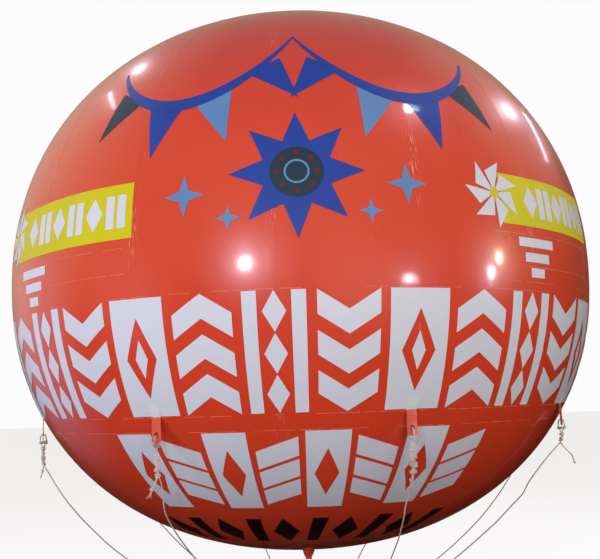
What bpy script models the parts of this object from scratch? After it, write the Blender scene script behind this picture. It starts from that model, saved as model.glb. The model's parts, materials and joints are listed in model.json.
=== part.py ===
"""Advertising sky balloon: a gored PVC envelope with tether tabs, slack tether cords and a filling sleeve.

Metres, +Z up. The origin is the centre of the envelope's widest circle. Azimuth 0 is the front, -Y,
and azimuth grows towards +X.
"""

import math

import bmesh
import bpy
from mathutils import Matrix, Vector

# Envelope: two half superellipses turned about +Z.
RADIUS = 1.830
TOP_RISE = 1.725
TOP_FULLNESS = 2.114
BOTTOM_DROP = 1.664
BOTTOM_FULLNESS = 2.159
SKIN = 0.010
GORES = 16
GORE_STEPS = 4
CROWN_CAP_RADIUS = 0.160
BASE_CAP_RADIUS = 0.220

# Tether tabs: flat strips welded over every other seam, with a metal eyelet each.
TABS = 8
TAB_LINE_Z = -0.810
TAB_WIDTH = 0.055
TAB_THICKNESS = 0.003
TAB_FLAP = 0.125
TAB_WELD = 0.030
TAB_CORNER = 0.010
EYELET_DROP = 0.088
EYELET_BORE = 0.0090
EYELET_BARREL = 0.0007
EYELET_FLANGE = 0.0125
EYELET_FLANGE_THICKNESS = 0.001

# Filling sleeve under the base cap, bunched by a cord tie.
SLEEVE_RADIUS = 0.040
SLEEVE_WALL = 0.002
SLEEVE_FLANGE_RADIUS = 0.075
SLEEVE_NECK_RADIUS = 0.016
SLEEVE_TIE_TOP = 0.078
TIE_HEIGHT = 0.014
TIE_THICKNESS = 0.006
SLEEVE_LENGTH = 0.152

# Tether ring, where the cords gather.
RING_Z = -2.080
RING_RADIUS = 0.032
RING_ROD_RADIUS = 0.004

# Tether cords.
CORD_RADIUS = 0.004
CORD_LOOP_RADIUS = 0.016
CORD_LOOP_RISE = 0.0045
STRAND_OFFSET = 0.0047
LONGEST_STEP = 0.060

# Clearance between pieces that touch.
GAP = 0.0003

GORE_ANGLE = 2 * math.pi / GORES
TURN_STEPS = GORES * GORE_STEPS
# Each gore is set out along its own middle, which opens its two seams by the same small gap.
GORE_SHIFT = GAP / (2 * math.sin(GORE_ANGLE / 2))
SEAM_SHIFT = GORE_SHIFT * math.cos(GORE_ANGLE / 2)
FIRST_TAB = GORE_ANGLE
TAB_STEP = 2 * math.pi / TABS
EYELET_Z = TAB_LINE_Z - EYELET_DROP
CORD_END = RING_RADIUS + RING_ROD_RADIUS + 2 * GAP

# Cord routes by hand: distance from the axis, sideways, and height. "tied" is where the cord lies
# doubled and knotted, "tail" its free end, "line" the single line that sags in to the ring.
ROUTES = {
    "front": {
        "tied": [(1.642, -0.985), (1.641, -1.030), (1.637, -1.075), (1.630, -1.115)],
        "tail": [(1.634, -0.012, -1.150), (1.632, -0.022, -1.185)],
        "line": [
            (1.608, 0.002, -1.160),
            (1.580, 0.000, -1.212),
            (1.528, -0.003, -1.282),
            (1.502, -0.001, -1.332),
            (1.448, 0.003, -1.405),
            (1.395, 0.004, -1.470),
            (1.200, 0.004, -1.662),
            (0.900, 0.008, -1.858),
            (0.600, 0.002, -1.982),
            (0.300, -0.003, -2.050),
            (CORD_END, 0.000, RING_Z),
        ],
    },
    "side": {
        "tied": [(1.641, -0.980), (1.638, -1.004), (1.632, -1.027)],
        "tail": [(1.643, 0.008, -1.054), (1.667, 0.014, -1.082), (1.688, 0.017, -1.108), (1.696, 0.018, -1.142)],
        "line": [
            (1.598, 0.002, -1.064),
            (1.548, -0.003, -1.118),
            (1.506, -0.005, -1.168),
            (1.434, -0.006, -1.260),
            (1.398, -0.005, -1.322),
            (1.331, -0.002, -1.388),
            (1.204, 0.002, -1.512),
            (0.900, 0.008, -1.755),
            (0.600, 0.004, -1.932),
            (0.300, -0.002, -2.038),
            (CORD_END, 0.000, RING_Z),
        ],
    },
    "plumb": {
        "tied": [(1.642, -0.985), (1.641, -1.025), (1.638, -1.065), (1.632, -1.100)],
        "tail": [(1.641, -0.014, -1.135), (1.648, -0.026, -1.162), (1.652, -0.036, -1.190)],
        "line": [
            (1.608, 0.003, -1.142),
            (1.600, 0.005, -1.200),
            (1.582, 0.003, -1.275),
            (1.520, -0.002, -1.350),
            (1.380, -0.006, -1.480),
            (1.200, 0.003, -1.630),
            (0.900, 0.008, -1.828),
            (0.600, 0.002, -1.963),
            (0.300, -0.003, -2.042),
            (CORD_END, 0.000, RING_Z),
        ],
    },
    "bunched": {
        "tied": [(1.642, -0.985), (1.642, -1.015), (1.641, -1.048), (1.638, -1.080)],
        "tail": [(1.646, 0.010, -1.112), (1.654, 0.015, -1.145)],
        "line": [
            (1.606, 0.002, -1.135),
            (1.560, -0.003, -1.215),
            (1.490, -0.005, -1.318),
            (1.370, -0.006, -1.458),
            (1.200, 0.003, -1.622),
            (0.900, 0.008, -1.832),
            (0.600, 0.002, -1.970),
            (0.300, -0.003, -2.047),
            (CORD_END, 0.000, RING_Z),
        ],
    },
}
# The route of each tab's cord, in the order of the tabs, from the front right round to the front left.
TAB_ROUTES = ("front", "side", "bunched", "plumb", "front", "side", "bunched", "plumb")


def clear_scene():
    for thing in list(bpy.data.objects):
        bpy.data.objects.remove(thing, do_unlink=True)


def new_collection(name):
    collection = bpy.data.collections.new(name)
    bpy.context.scene.collection.children.link(collection)
    return collection


def material(name, colour, roughness, metallic=0.0):
    made = bpy.data.materials.new(name)
    made.use_nodes = True
    shader = made.node_tree.nodes["Principled BSDF"]
    shader.inputs["Base Color"].default_value = (*colour, 1.0)
    shader.inputs["Roughness"].default_value = roughness
    shader.inputs["Metallic"].default_value = metallic
    made.diffuse_color = (*colour, 1.0)
    return made


def add_object(name, mesh, finish, collection):
    made = bpy.data.objects.new(name, mesh)
    if not mesh.materials:
        mesh.materials.append(finish)
    collection.objects.link(made)
    return made


def mesh_from(bm, name, sharp_angle=0.6):
    mesh = bpy.data.meshes.new(name)
    bm.to_mesh(mesh)
    bm.free()
    mesh.shade_smooth()
    mesh.set_sharp_from_angle(angle=sharp_angle)
    return mesh


def place_at(thing, azimuth, out=0.0, height=0.0):
    """Turns an object made at the front to its azimuth, and sets it out from the axis."""
    thing.rotation_euler = (0.0, 0.0, azimuth)
    thing.location = (out * math.sin(azimuth), -out * math.cos(azimuth), height)


def half_of(upper):
    """The rise and fullness of the upper or the lower half of the envelope."""
    return (TOP_RISE, TOP_FULLNESS) if upper else (BOTTOM_DROP, BOTTOM_FULLNESS)


def skin_point(turn, depth=0.0):
    """Distance from the axis and height on the envelope: turn is -90 degrees at the base and 90 at the crown."""
    rise, fullness = half_of(turn >= 0)
    across = abs(math.cos(turn)) ** (2 / fullness)
    along = abs(math.sin(turn)) ** (2 / fullness)
    out = RADIUS * across
    height = math.copysign(rise * along, turn)
    slope_out = across ** (fullness - 1) / RADIUS
    slope_up = math.copysign(along ** (fullness - 1) / rise, turn)
    length = math.hypot(slope_out, slope_up)
    return out - depth * slope_out / length, height - depth * slope_up / length


def turn_at_height(height):
    rise, fullness = half_of(height >= 0)
    return math.copysign(math.asin((abs(height) / rise) ** (fullness / 2)), height)


def turn_at_radius(radius, upper):
    _, fullness = half_of(upper)
    return math.copysign(math.acos((radius / RADIUS) ** (fullness / 2)), 1 if upper else -1)


def evenly(start, stop, count):
    return [start + (stop - start) * i / count for i in range(count + 1)]


def gore_turns():
    """The stations up a gore, with one exactly on the tab line and one on the widest circle."""
    base = turn_at_radius(BASE_CAP_RADIUS, False)
    tab_line = turn_at_height(TAB_LINE_Z)
    crown = turn_at_radius(CROWN_CAP_RADIUS, True)
    return evenly(base, tab_line, 7) + evenly(tab_line, 0.0, 3)[1:] + evenly(0.0, crown, 10)[1:]


def gore_mesh():
    """One gore: a strip of skin on its seam, spun round to the next seam."""
    bm = bmesh.new()
    rows = []
    for turn in gore_turns():
        rows.append([bm.verts.new((0.0, -out, height)) for out, height in (skin_point(turn), skin_point(turn, SKIN))])
    strip = [bm.faces.new((a[0], b[0], b[1], a[1])) for a, b in zip(rows, rows[1:])]
    bmesh.ops.spin(
        bm,
        geom=list(bm.verts) + list(bm.edges) + strip,
        cent=(0.0, 0.0, 0.0),
        axis=(0.0, 0.0, 1.0),
        angle=GORE_ANGLE,
        steps=GORE_STEPS,
    )
    bmesh.ops.recalc_face_normals(bm, faces=bm.faces)
    return mesh_from(bm, "gore")


def turned(name, profile, closed, finish, collection, steps=TURN_STEPS):
    """A profile of (distance from the axis, height) turned about +Z."""
    bm = bmesh.new()
    verts = [bm.verts.new((out, 0.0, height)) for out, height in profile]
    for a, b in zip(verts, verts[1:]):
        bm.edges.new((a, b))
    if closed:
        bm.edges.new((verts[-1], verts[0]))
    made = add_object(name, mesh_from(bm, name), finish, collection)
    screw = made.modifiers.new("Turn", "SCREW")
    screw.axis = "Z"
    screw.steps = steps
    screw.render_steps = steps
    screw.use_merge_vertices = True
    screw.merge_threshold = 0.00001
    screw.use_smooth_shade = True
    return made


def cap_profile(radius, hole, upper):
    """The outline of a pole cap, from its middle to its rim on the outside and back inside."""
    rim = turn_at_radius(radius, upper)
    middle = turn_at_radius(hole, upper) if hole else math.copysign(math.pi / 2, rim)
    turns = evenly(middle, rim, 3)
    outside = [skin_point(turn) for turn in turns]
    inside = [skin_point(turn, SKIN) for turn in reversed(turns)]
    outline = outside + inside
    return outline if upper else outline[::-1]


def tab_mesh():
    """A strip that hangs plumb from the tab line, with its top bent to lie on the gores above it."""
    tab_line = turn_at_height(TAB_LINE_Z)
    above = gore_turns()[gore_turns().index(tab_line) + 1]
    foot, head = Vector(skin_point(tab_line)), Vector(skin_point(above))
    lean = (head - foot).normalized()
    bm = bmesh.new()
    bmesh.ops.create_cube(bm, size=1.0)
    bmesh.ops.scale(bm, vec=(TAB_WIDTH, TAB_THICKNESS, TAB_FLAP + TAB_WELD), verts=bm.verts)
    bmesh.ops.translate(bm, vec=(0.0, -TAB_THICKNESS / 2, (TAB_WELD - TAB_FLAP) / 2), verts=bm.verts)
    bmesh.ops.bisect_plane(bm, geom=list(bm.verts) + list(bm.edges) + list(bm.faces), plane_no=(0.0, 0.0, 1.0))
    mitre = TAB_THICKNESS * math.tan(math.atan2(lean.x, lean.y) / 2)
    for vert in bm.verts:
        outer = vert.co.y < -TAB_THICKNESS / 2
        if vert.co.z > TAB_WELD / 2:
            along = TAB_WELD * lean
            across = TAB_THICKNESS * Vector((lean.y, -lean.x)) if outer else Vector((0.0, 0.0))
            vert.co.y = -(along.x + across.x)
            vert.co.z = along.y + across.y
        elif abs(vert.co.z) < TAB_WELD / 2 and outer:
            vert.co.z = -mitre
    corners = [
        edge
        for edge in bm.edges
        if all(vert.co.z < -TAB_FLAP / 2 for vert in edge.verts)
        and abs(edge.verts[0].co.x - edge.verts[1].co.x) < TAB_CORNER
        and abs(edge.verts[0].co.y - edge.verts[1].co.y) > TAB_THICKNESS / 2
    ]
    bmesh.ops.bevel(bm, geom=corners, offset=TAB_CORNER, segments=3, profile=0.5, affect="EDGES")
    return mesh_from(bm, "tab")


def eyelet_profile():
    """A metal eyelet round the tab's hole: a barrel with a flange on each face of the tab."""
    barrel = EYELET_BORE + EYELET_BARREL
    seat = TAB_THICKNESS / 2 + GAP
    face = seat + EYELET_FLANGE_THICKNESS
    return [
        (EYELET_FLANGE, face),
        (EYELET_FLANGE, seat),
        (barrel, seat),
        (barrel, -seat),
        (EYELET_FLANGE, -seat),
        (EYELET_FLANGE, -face),
        (EYELET_BORE, -face),
        (EYELET_BORE, face),
    ]


def sleeve_profile(top):
    """The sleeve's outline, from inside its bunched neck over the flange and down the outside."""
    wall = SLEEVE_RADIUS - SLEEVE_WALL
    inside = [(0.0, -0.068), (0.011, -0.064), (0.028, -0.050), (wall, -0.026), (wall, 0.0)]
    outside = [
        (SLEEVE_FLANGE_RADIUS, 0.0),
        (SLEEVE_FLANGE_RADIUS, -SLEEVE_WALL),
        (SLEEVE_RADIUS, -SLEEVE_WALL),
        (SLEEVE_RADIUS, -0.028),
        (0.031, -0.054),
        (SLEEVE_NECK_RADIUS, -SLEEVE_TIE_TOP),
        (SLEEVE_NECK_RADIUS, -SLEEVE_TIE_TOP - TIE_HEIGHT - 2 * GAP),
        (0.027, -0.112),
        (0.036, -SLEEVE_LENGTH),
        (0.0, -SLEEVE_LENGTH),
    ]
    return [(out, top + drop) for out, drop in inside + outside]


def tie_profile(top):
    """The outline of the cord wraps round the sleeve's neck."""
    inner = SLEEVE_NECK_RADIUS + GAP
    outer = inner + TIE_THICKNESS
    ease = TIE_THICKNESS / 3
    high = top - SLEEVE_TIE_TOP - GAP
    low = high - TIE_HEIGHT
    return [
        (inner, high),
        (outer - ease, high),
        (outer, high - ease),
        (outer, low + ease),
        (outer - ease, low),
        (inner, low),
    ]


def rod_profile():
    """Eight points round the ring's rod, with flats on its top and bottom, run down the outer side first."""
    turns = [math.radians(67.5 - 45.0 * i) for i in range(8)]
    return [(RING_RADIUS + RING_ROD_RADIUS * math.cos(a), RING_Z + RING_ROD_RADIUS * math.sin(a)) for a in turns]


def cord_points(route, tab_plane):
    """The cord's own points in its tab's plane: tail, doubled stretch, eyelet loop, doubled stretch, line."""
    tied = route["tied"]
    tail = [Vector(point) for point in reversed(route["tail"])]
    rising = [Vector((out, -STRAND_OFFSET, height)) for out, height in reversed(tied)]
    falling = [Vector((out, STRAND_OFFSET, height)) for out, height in tied]
    loop_z = EYELET_Z - CORD_LOOP_RISE - CORD_LOOP_RADIUS
    beside = Vector((tab_plane - CORD_LOOP_RADIUS, -0.001, loop_z - 0.028))
    loop = []
    for i in range(10):
        turn = math.pi * (1 - i / 9)
        arch = (CORD_LOOP_RADIUS * math.cos(turn), CORD_LOOP_RADIUS * math.sin(turn))
        loop.append(Vector((tab_plane + arch[0], 0.0, loop_z + arch[1])))
    front = Vector((tab_plane + CORD_LOOP_RADIUS, 0.001, loop_z - 0.028))
    line = [Vector(point) for point in route["line"]]
    return tail + rising + [beside] + loop + [front] + falling + line


def smooth_through(points):
    """Points read from a Catmull-Rom curve through the given ones, none further apart than the longest step."""
    padded = [2 * points[0] - points[1]] + points + [2 * points[-1] - points[-2]]
    smooth = []
    for before, start, end, after in zip(padded, padded[1:], padded[2:], padded[3:]):
        steps = max(1, round((end - start).length / LONGEST_STEP))
        reach = (end - start).length
        leave = (end - before).normalized() * reach
        arrive = (after - start).normalized() * reach
        for i in range(steps):
            t = i / steps
            smooth.append(
                start * (2 * t**3 - 3 * t**2 + 1)
                + leave * (t**3 - 2 * t**2 + t)
                + end * (3 * t**2 - 2 * t**3)
                + arrive * (t**3 - t**2)
            )
    return smooth + [points[-1]]


def add_cord(name, route, azimuth, tab_plane, finish, collection):
    outward = Vector((math.sin(azimuth), -math.cos(azimuth), 0.0))
    sideways = Vector((math.cos(azimuth), math.sin(azimuth), 0.0))
    points = smooth_through(cord_points(route, tab_plane))
    curve = bpy.data.curves.new(name, "CURVE")
    curve.dimensions = "3D"
    curve.bevel_depth = CORD_RADIUS
    curve.bevel_resolution = 2
    curve.use_fill_caps = True
    spline = curve.splines.new("POLY")
    spline.points.add(len(points) - 1)
    for knot, point in zip(spline.points, points):
        place = outward * point.x + sideways * point.y + Vector((0.0, 0.0, point.z))
        knot.co = (*place, 1.0)
    curve.materials.append(finish)
    made = bpy.data.objects.new(name, curve)
    collection.objects.link(made)
    return made


def add_envelope(finishes, parts):
    mesh = gore_mesh()
    for i in range(GORES):
        gore = add_object(f"gore_{i + 1:02d}", mesh, finishes["film"], parts)
        middle = (i + 0.5) * GORE_ANGLE
        gore.rotation_euler = (0.0, 0.0, i * GORE_ANGLE)
        gore.location = (GORE_SHIFT * math.sin(middle), -GORE_SHIFT * math.cos(middle), 0.0)
    rim = SEAM_SHIFT - GAP
    crown = cap_profile(CROWN_CAP_RADIUS + rim, 0.0, True)
    turned("crown_cap", crown, False, finishes["film"], parts)
    base = cap_profile(BASE_CAP_RADIUS + rim, SLEEVE_RADIUS, False)
    turned("base_cap", base, True, finishes["film"], parts)


def add_tabs(finishes, parts, cutters):
    seat = skin_point(turn_at_height(TAB_LINE_Z))[0] + SEAM_SHIFT + GAP
    tab_plane = seat + TAB_THICKNESS / 2
    hole = EYELET_BORE + EYELET_BARREL + GAP
    mesh = tab_mesh()
    for i in range(TABS):
        azimuth = FIRST_TAB + i * TAB_STEP
        tab = add_object(f"tether_tab_{i + 1}", mesh.copy(), finishes["tab"], parts)
        place_at(tab, azimuth, seat, TAB_LINE_Z)
        bpy.ops.mesh.primitive_cylinder_add(vertices=24, radius=hole, depth=6 * TAB_THICKNESS)
        cutter = bpy.context.object
        cutter.name = f"tab_hole_{i + 1}"
        for owner in list(cutter.users_collection):
            owner.objects.unlink(cutter)
        cutters.objects.link(cutter)
        cutter.data.transform(Matrix.Rotation(math.pi / 2, 4, "X"))
        place_at(cutter, azimuth, tab_plane, EYELET_Z)
        cutter.hide_render = True
        cutter.display_type = "WIRE"
        cut = tab.modifiers.new("Hole", "BOOLEAN")
        cut.operation = "DIFFERENCE"
        cut.object = cutter
        eyelet = turned(f"tab_eyelet_{i + 1}", eyelet_profile(), True, finishes["metal"], parts, 16)
        eyelet.rotation_euler = (math.pi / 2, 0.0, azimuth)
        eyelet.location = (tab_plane * math.sin(azimuth), -tab_plane * math.cos(azimuth), EYELET_Z)
        add_cord(f"tether_cord_{i + 1}", ROUTES[TAB_ROUTES[i]], azimuth, tab_plane, finishes["cord"], parts)


def add_sleeve(finishes, parts):
    top = skin_point(turn_at_radius(SLEEVE_RADIUS, False))[1] - GAP
    turned("filling_sleeve", sleeve_profile(top), False, finishes["sleeve"], parts, 24)
    turned("sleeve_tie", tie_profile(top), True, finishes["cord"], parts, 24)


def main():
    clear_scene()
    parts = new_collection("sky_balloon")
    cutters = new_collection("cutters")
    finishes = {
        "film": material("red_pvc_film", (0.56, 0.058, 0.022), 0.28),
        "tab": material("coral_pvc_strip", (0.74, 0.12, 0.07), 0.42),
        "sleeve": material("red_pvc_sleeve", (0.48, 0.045, 0.02), 0.4),
        "metal": material("nickelled_brass", (0.32, 0.29, 0.26), 0.35, 1.0),
        "ring": material("zinc_plated_steel", (0.56, 0.57, 0.58), 0.32, 1.0),
        "cord": material("off_white_cord", (0.69, 0.62, 0.56), 0.85),
    }
    add_envelope(finishes, parts)
    add_tabs(finishes, parts, cutters)
    add_sleeve(finishes, parts)
    turned("tether_ring", rod_profile(), True, finishes["ring"], parts, 32)


main()
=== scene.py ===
# %% [markdown]
# This lesson dresses an advertising sky balloon: a red PVC envelope about 3.7 m across, welded from
# sixteen gores, with tether tabs, slack tether cords and a filling sleeve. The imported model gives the
# places and sizes. Each cell makes one piece or one finish, and says first what it is on the real thing.

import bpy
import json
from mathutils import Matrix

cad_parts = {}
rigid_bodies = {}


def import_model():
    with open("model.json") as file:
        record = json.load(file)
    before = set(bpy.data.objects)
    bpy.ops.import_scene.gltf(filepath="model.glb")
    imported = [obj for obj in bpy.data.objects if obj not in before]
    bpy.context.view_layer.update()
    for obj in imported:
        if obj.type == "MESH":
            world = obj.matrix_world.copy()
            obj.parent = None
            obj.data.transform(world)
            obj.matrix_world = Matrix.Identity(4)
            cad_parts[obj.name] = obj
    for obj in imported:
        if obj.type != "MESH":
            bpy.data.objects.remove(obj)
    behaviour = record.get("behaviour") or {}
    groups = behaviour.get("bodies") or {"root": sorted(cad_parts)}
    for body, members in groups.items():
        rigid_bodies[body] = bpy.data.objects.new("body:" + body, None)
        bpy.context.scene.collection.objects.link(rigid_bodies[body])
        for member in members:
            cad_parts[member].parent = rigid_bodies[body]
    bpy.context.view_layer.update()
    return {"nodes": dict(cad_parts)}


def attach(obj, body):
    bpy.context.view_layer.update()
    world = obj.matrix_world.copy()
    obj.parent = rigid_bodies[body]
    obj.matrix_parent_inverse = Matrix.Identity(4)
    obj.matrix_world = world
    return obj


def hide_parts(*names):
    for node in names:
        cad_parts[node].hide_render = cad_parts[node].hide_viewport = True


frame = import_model()
print("the packed model has", len(frame["nodes"]), "nodes")

# %% Tools for the whole lesson
import json
import math
import random

import bmesh
import bpy
import numpy as np
from mathutils import Matrix, Vector

bpy.ops.object.select_all(action="DESELECT")

# %% [markdown]
# The camera comes first, because the cords are shaped to what it sees. The picture was taken from about
# 6 m away, a little below the widest circle and looking up, so the balloon fills the frame and its top
# and bottom lean away. The camera is set by its place, a small roll and a lens, with no shift.

# %% The camera
CAMERA_AZIMUTH = math.radians(4.0)
CAMERA_DISTANCE = 6.087
CAMERA_HEIGHT = -0.762
CAMERA_PITCH = 0.1327
CAMERA_ROLL = -0.0314

bpy.ops.object.camera_add()
camera = bpy.context.object
camera.name = "photo_camera"
camera.data.lens = 55.38
camera.data.sensor_width = 36.0
stand = Vector((math.sin(CAMERA_AZIMUTH), -math.cos(CAMERA_AZIMUTH), 0.0)) * CAMERA_DISTANCE
stand.z = CAMERA_HEIGHT
facing = Matrix.Rotation(CAMERA_AZIMUTH, 4, "Z") @ Matrix.Rotation(math.pi / 2 + CAMERA_PITCH, 4, "X")
camera.matrix_world = Matrix.Translation(stand) @ facing @ Matrix.Rotation(CAMERA_ROLL, 4, "Z")
bpy.context.scene.camera = camera
print("the camera stands", round(CAMERA_DISTANCE, 2), "m from the middle")

# %% [markdown]
# Every piece goes through the same last steps: it rides on the body, it says which solid it stands for,
# and it takes a finish. Two small helpers keep that short. Another picks one object and lets go of the rest,
# because an operator acts on all that is selected.


# %% Helpers for a finished piece
def pick(*pieces):
    bpy.ops.object.select_all(action="DESELECT")
    for piece in pieces:
        piece.select_set(True)
    bpy.context.view_layer.objects.active = pieces[0]


def apply_all(piece):
    """Applies the piece's modifiers in their order."""
    pick(piece)
    for modifier in list(piece.modifiers):
        bpy.ops.object.modifier_apply(modifier=modifier.name)


def join_as(name, pieces):
    pick(*pieces)
    if len(pieces) > 1:
        bpy.ops.object.join()
    joined = bpy.context.object
    joined.name = name
    joined.data.name = name
    return joined


def smooth_by(piece, degrees):
    pick(piece)
    bpy.ops.object.shade_smooth_by_angle(angle=math.radians(degrees))


def hand_over(piece, nodes=()):
    """The piece rides on the body and stands for its solids, which are hidden."""
    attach(piece, "root")
    if nodes:
        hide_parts(*nodes)
    return piece


def turn_about_axis(piece, name, azimuth):
    """A copy with its own mesh, turned about the balloon's axis."""
    made = piece.copy()
    made.data = piece.data.copy()
    made.name = name
    made.data.name = name
    made.data.transform(Matrix.Rotation(azimuth, 4, "Z"))
    bpy.context.collection.objects.link(made)
    return made


print("helpers are ready")

# %% [markdown]
# The tether cords hang slack. Each comes up from the tether ring, goes through its tab's eyelet, and is
# tied back on itself. The points below are the same as in the part's source: the distance
# from the axis, a little sideways, and the height. A smooth curve runs through them.

# %% Sizes of the cords, tabs and ring
CORD_RADIUS = 0.004
CORD_LOOP_RADIUS = 0.016
CORD_LOOP_RISE = 0.0045
STRAND_OFFSET = 0.0047
TABS = 8
FIRST_TAB = math.radians(22.5)
TAB_STEP = 2 * math.pi / TABS
TAB_LINE_Z = -0.810
EYELET_Z = -0.898
TAB_PLANE = 1.6420
RING_Z = -2.080
RING_RADIUS = 0.032
RING_ROD_RADIUS = 0.004
CORD_END = 0.0366

ROUTES = {
    "front": {
        "tied": [(1.642, -0.985), (1.641, -1.030), (1.637, -1.075), (1.630, -1.115)],
        "tail": [(1.634, -0.012, -1.150), (1.632, -0.022, -1.185)],
        "line": [
            (1.608, 0.002, -1.160),
            (1.580, 0.000, -1.212),
            (1.528, -0.003, -1.282),
            (1.502, -0.001, -1.332),
            (1.448, 0.003, -1.405),
            (1.395, 0.004, -1.470),
            (1.200, 0.004, -1.662),
            (0.900, 0.008, -1.858),
            (0.600, 0.002, -1.982),
            (0.300, -0.003, -2.050),
            (CORD_END, 0.000, RING_Z),
        ],
    },
    "side": {
        "tied": [(1.641, -0.980), (1.638, -1.004), (1.632, -1.027)],
        "tail": [(1.643, 0.008, -1.054), (1.667, 0.014, -1.082), (1.688, 0.017, -1.108), (1.696, 0.018, -1.142)],
        "line": [
            (1.598, 0.002, -1.064),
            (1.548, -0.003, -1.118),
            (1.506, -0.005, -1.168),
            (1.434, -0.006, -1.260),
            (1.398, -0.005, -1.322),
            (1.331, -0.002, -1.388),
            (1.204, 0.002, -1.512),
            (0.900, 0.008, -1.755),
            (0.600, 0.004, -1.932),
            (0.300, -0.002, -2.038),
            (CORD_END, 0.000, RING_Z),
        ],
    },
    "plumb": {
        "tied": [(1.642, -0.985), (1.641, -1.025), (1.638, -1.065), (1.632, -1.100)],
        "tail": [(1.641, -0.014, -1.135), (1.648, -0.026, -1.162), (1.652, -0.036, -1.190)],
        "line": [
            (1.608, 0.003, -1.142),
            (1.600, 0.005, -1.200),
            (1.582, 0.003, -1.275),
            (1.520, -0.002, -1.350),
            (1.380, -0.006, -1.480),
            (1.200, 0.003, -1.630),
            (0.900, 0.008, -1.828),
            (0.600, 0.002, -1.963),
            (0.300, -0.003, -2.042),
            (CORD_END, 0.000, RING_Z),
        ],
    },
    "bunched": {
        "tied": [(1.642, -0.985), (1.642, -1.015), (1.641, -1.048), (1.638, -1.080)],
        "tail": [(1.646, 0.010, -1.112), (1.654, 0.015, -1.145)],
        "line": [
            (1.606, 0.002, -1.135),
            (1.560, -0.003, -1.215),
            (1.490, -0.005, -1.318),
            (1.370, -0.006, -1.458),
            (1.200, 0.003, -1.622),
            (0.900, 0.008, -1.832),
            (0.600, 0.002, -1.970),
            (0.300, -0.003, -2.047),
            (CORD_END, 0.000, RING_Z),
        ],
    },
}
TAB_ROUTES = ("front", "side", "bunched", "plumb", "front", "side", "bunched", "plumb")
print(len(ROUTES), "ways that a cord is tied, on", TABS, "tabs")


# %% Points of a cord in its tab's plane
def cord_points(route):
    """Tail, doubled stretch, loop through the eyelet, doubled stretch and line, as in the part's source."""
    tail = [Vector(point) for point in reversed(route["tail"])]
    rising = [Vector((out, -STRAND_OFFSET, height)) for out, height in reversed(route["tied"])]
    falling = [Vector((out, STRAND_OFFSET, height)) for out, height in route["tied"]]
    loop_z = EYELET_Z - CORD_LOOP_RISE - CORD_LOOP_RADIUS
    beside = Vector((TAB_PLANE - CORD_LOOP_RADIUS, -0.001, loop_z - 0.028))
    loop = []
    for i in range(10):
        turn = math.pi * (1 - i / 9)
        arch = (CORD_LOOP_RADIUS * math.cos(turn), CORD_LOOP_RADIUS * math.sin(turn))
        loop.append(Vector((TAB_PLANE + arch[0], 0.0, loop_z + arch[1])))
    front = Vector((TAB_PLANE + CORD_LOOP_RADIUS, 0.001, loop_z - 0.028))
    line = [Vector(point) for point in route["line"]]
    return tail + rising + [beside] + loop + [front] + falling + line


def smooth_through(points, longest=0.002):
    """Close points on a smooth curve through the given ones, which leaves and meets each along its neighbours."""
    padded = [2 * points[0] - points[1]] + points + [2 * points[-1] - points[-2]]
    smooth = []
    for before, start, end, after in zip(padded, padded[1:], padded[2:], padded[3:]):
        reach = (end - start).length
        steps = max(1, round(reach / longest))
        leave = (end - before).normalized() * reach
        arrive = (after - start).normalized() * reach
        for i in range(steps):
            t = i / steps
            smooth.append(
                start * (2 * t**3 - 3 * t**2 + 1)
                + leave * (t**3 - 2 * t**2 + t)
                + end * (3 * t**2 - 2 * t**3)
                + arrive * (t**3 - t**2)
            )
    return smooth + [points[-1]]


def evenly_along(points, step):
    """The same line, with its points the same distance apart."""
    places = np.array(points)
    walked = np.concatenate([[0.0], np.cumsum(np.linalg.norm(np.diff(places, axis=0), axis=1))])
    marks = np.linspace(0.0, walked[-1], max(3, round(walked[-1] / step) + 1))
    return [Vector([np.interp(mark, walked, places[:, k]) for k in range(3)]) for mark in marks]


def out_from_tab(points, azimuth):
    """Turns points in a tab's own plane to their place round the balloon."""
    outward = Vector((math.sin(azimuth), -math.cos(azimuth), 0.0))
    sideways = Vector((math.cos(azimuth), math.sin(azimuth), 0.0))
    return [outward * p.x + sideways * p.y + Vector((0.0, 0.0, p.z)) for p in points]


def length_of(points):
    return sum((b - a).length for a, b in zip(points, points[1:]))


print("one front cord is", round(length_of(smooth_through(cord_points(ROUTES["front"]))), 2), "m long")

# %% [markdown]
# The cord is a soft laid one, three strands twisted together, 8 mm thick. A tube with a three-lobed section
# that turns as it goes along gives that look. The section is a small closed curve, the tube follows it, and
# the tilt of each point turns it. It is made a mesh at once, so that its strands stay as drawn.

# %% A laid cord
CORD_LAY = 0.028

section = bpy.data.curves.new("strand_section", "CURVE")
section.dimensions = "2D"
rim = section.splines.new("POLY")
rim.points.add(11)
rim.use_cyclic_u = True
for i, knot in enumerate(rim.points):
    turn = math.radians(30 * i)
    swell = CORD_RADIUS * (0.885 + 0.115 * math.cos(3 * turn))
    knot.co = (swell * math.cos(turn), swell * math.sin(turn), 0.0, 1.0)
strand_section = bpy.data.objects.new("strand_section", section)
bpy.context.collection.objects.link(strand_section)


def twist_cord(name, points, step=0.0030):
    """A three-strand cord along the points, made a mesh. Gives the piece and the line that it follows."""
    line = evenly_along(points, step)
    curve = bpy.data.curves.new(name, "CURVE")
    curve.dimensions = "3D"
    curve.bevel_mode = "OBJECT"
    curve.bevel_object = strand_section
    curve.use_fill_caps = True
    spline = curve.splines.new("POLY")
    spline.points.add(len(line) - 1)
    turn_each = 2 * math.pi * (line[1] - line[0]).length / CORD_LAY
    for i, knot in enumerate(spline.points):
        knot.co = (*line[i], 1.0)
        knot.tilt = i * turn_each
    made = bpy.data.objects.new(name, curve)
    bpy.context.collection.objects.link(made)
    pick(made)
    bpy.ops.object.convert(target="MESH")
    made = bpy.context.object
    smooth_by(made, 70)
    return made, line


print("a strand turns once in", CORD_LAY * 1000, "mm")

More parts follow.
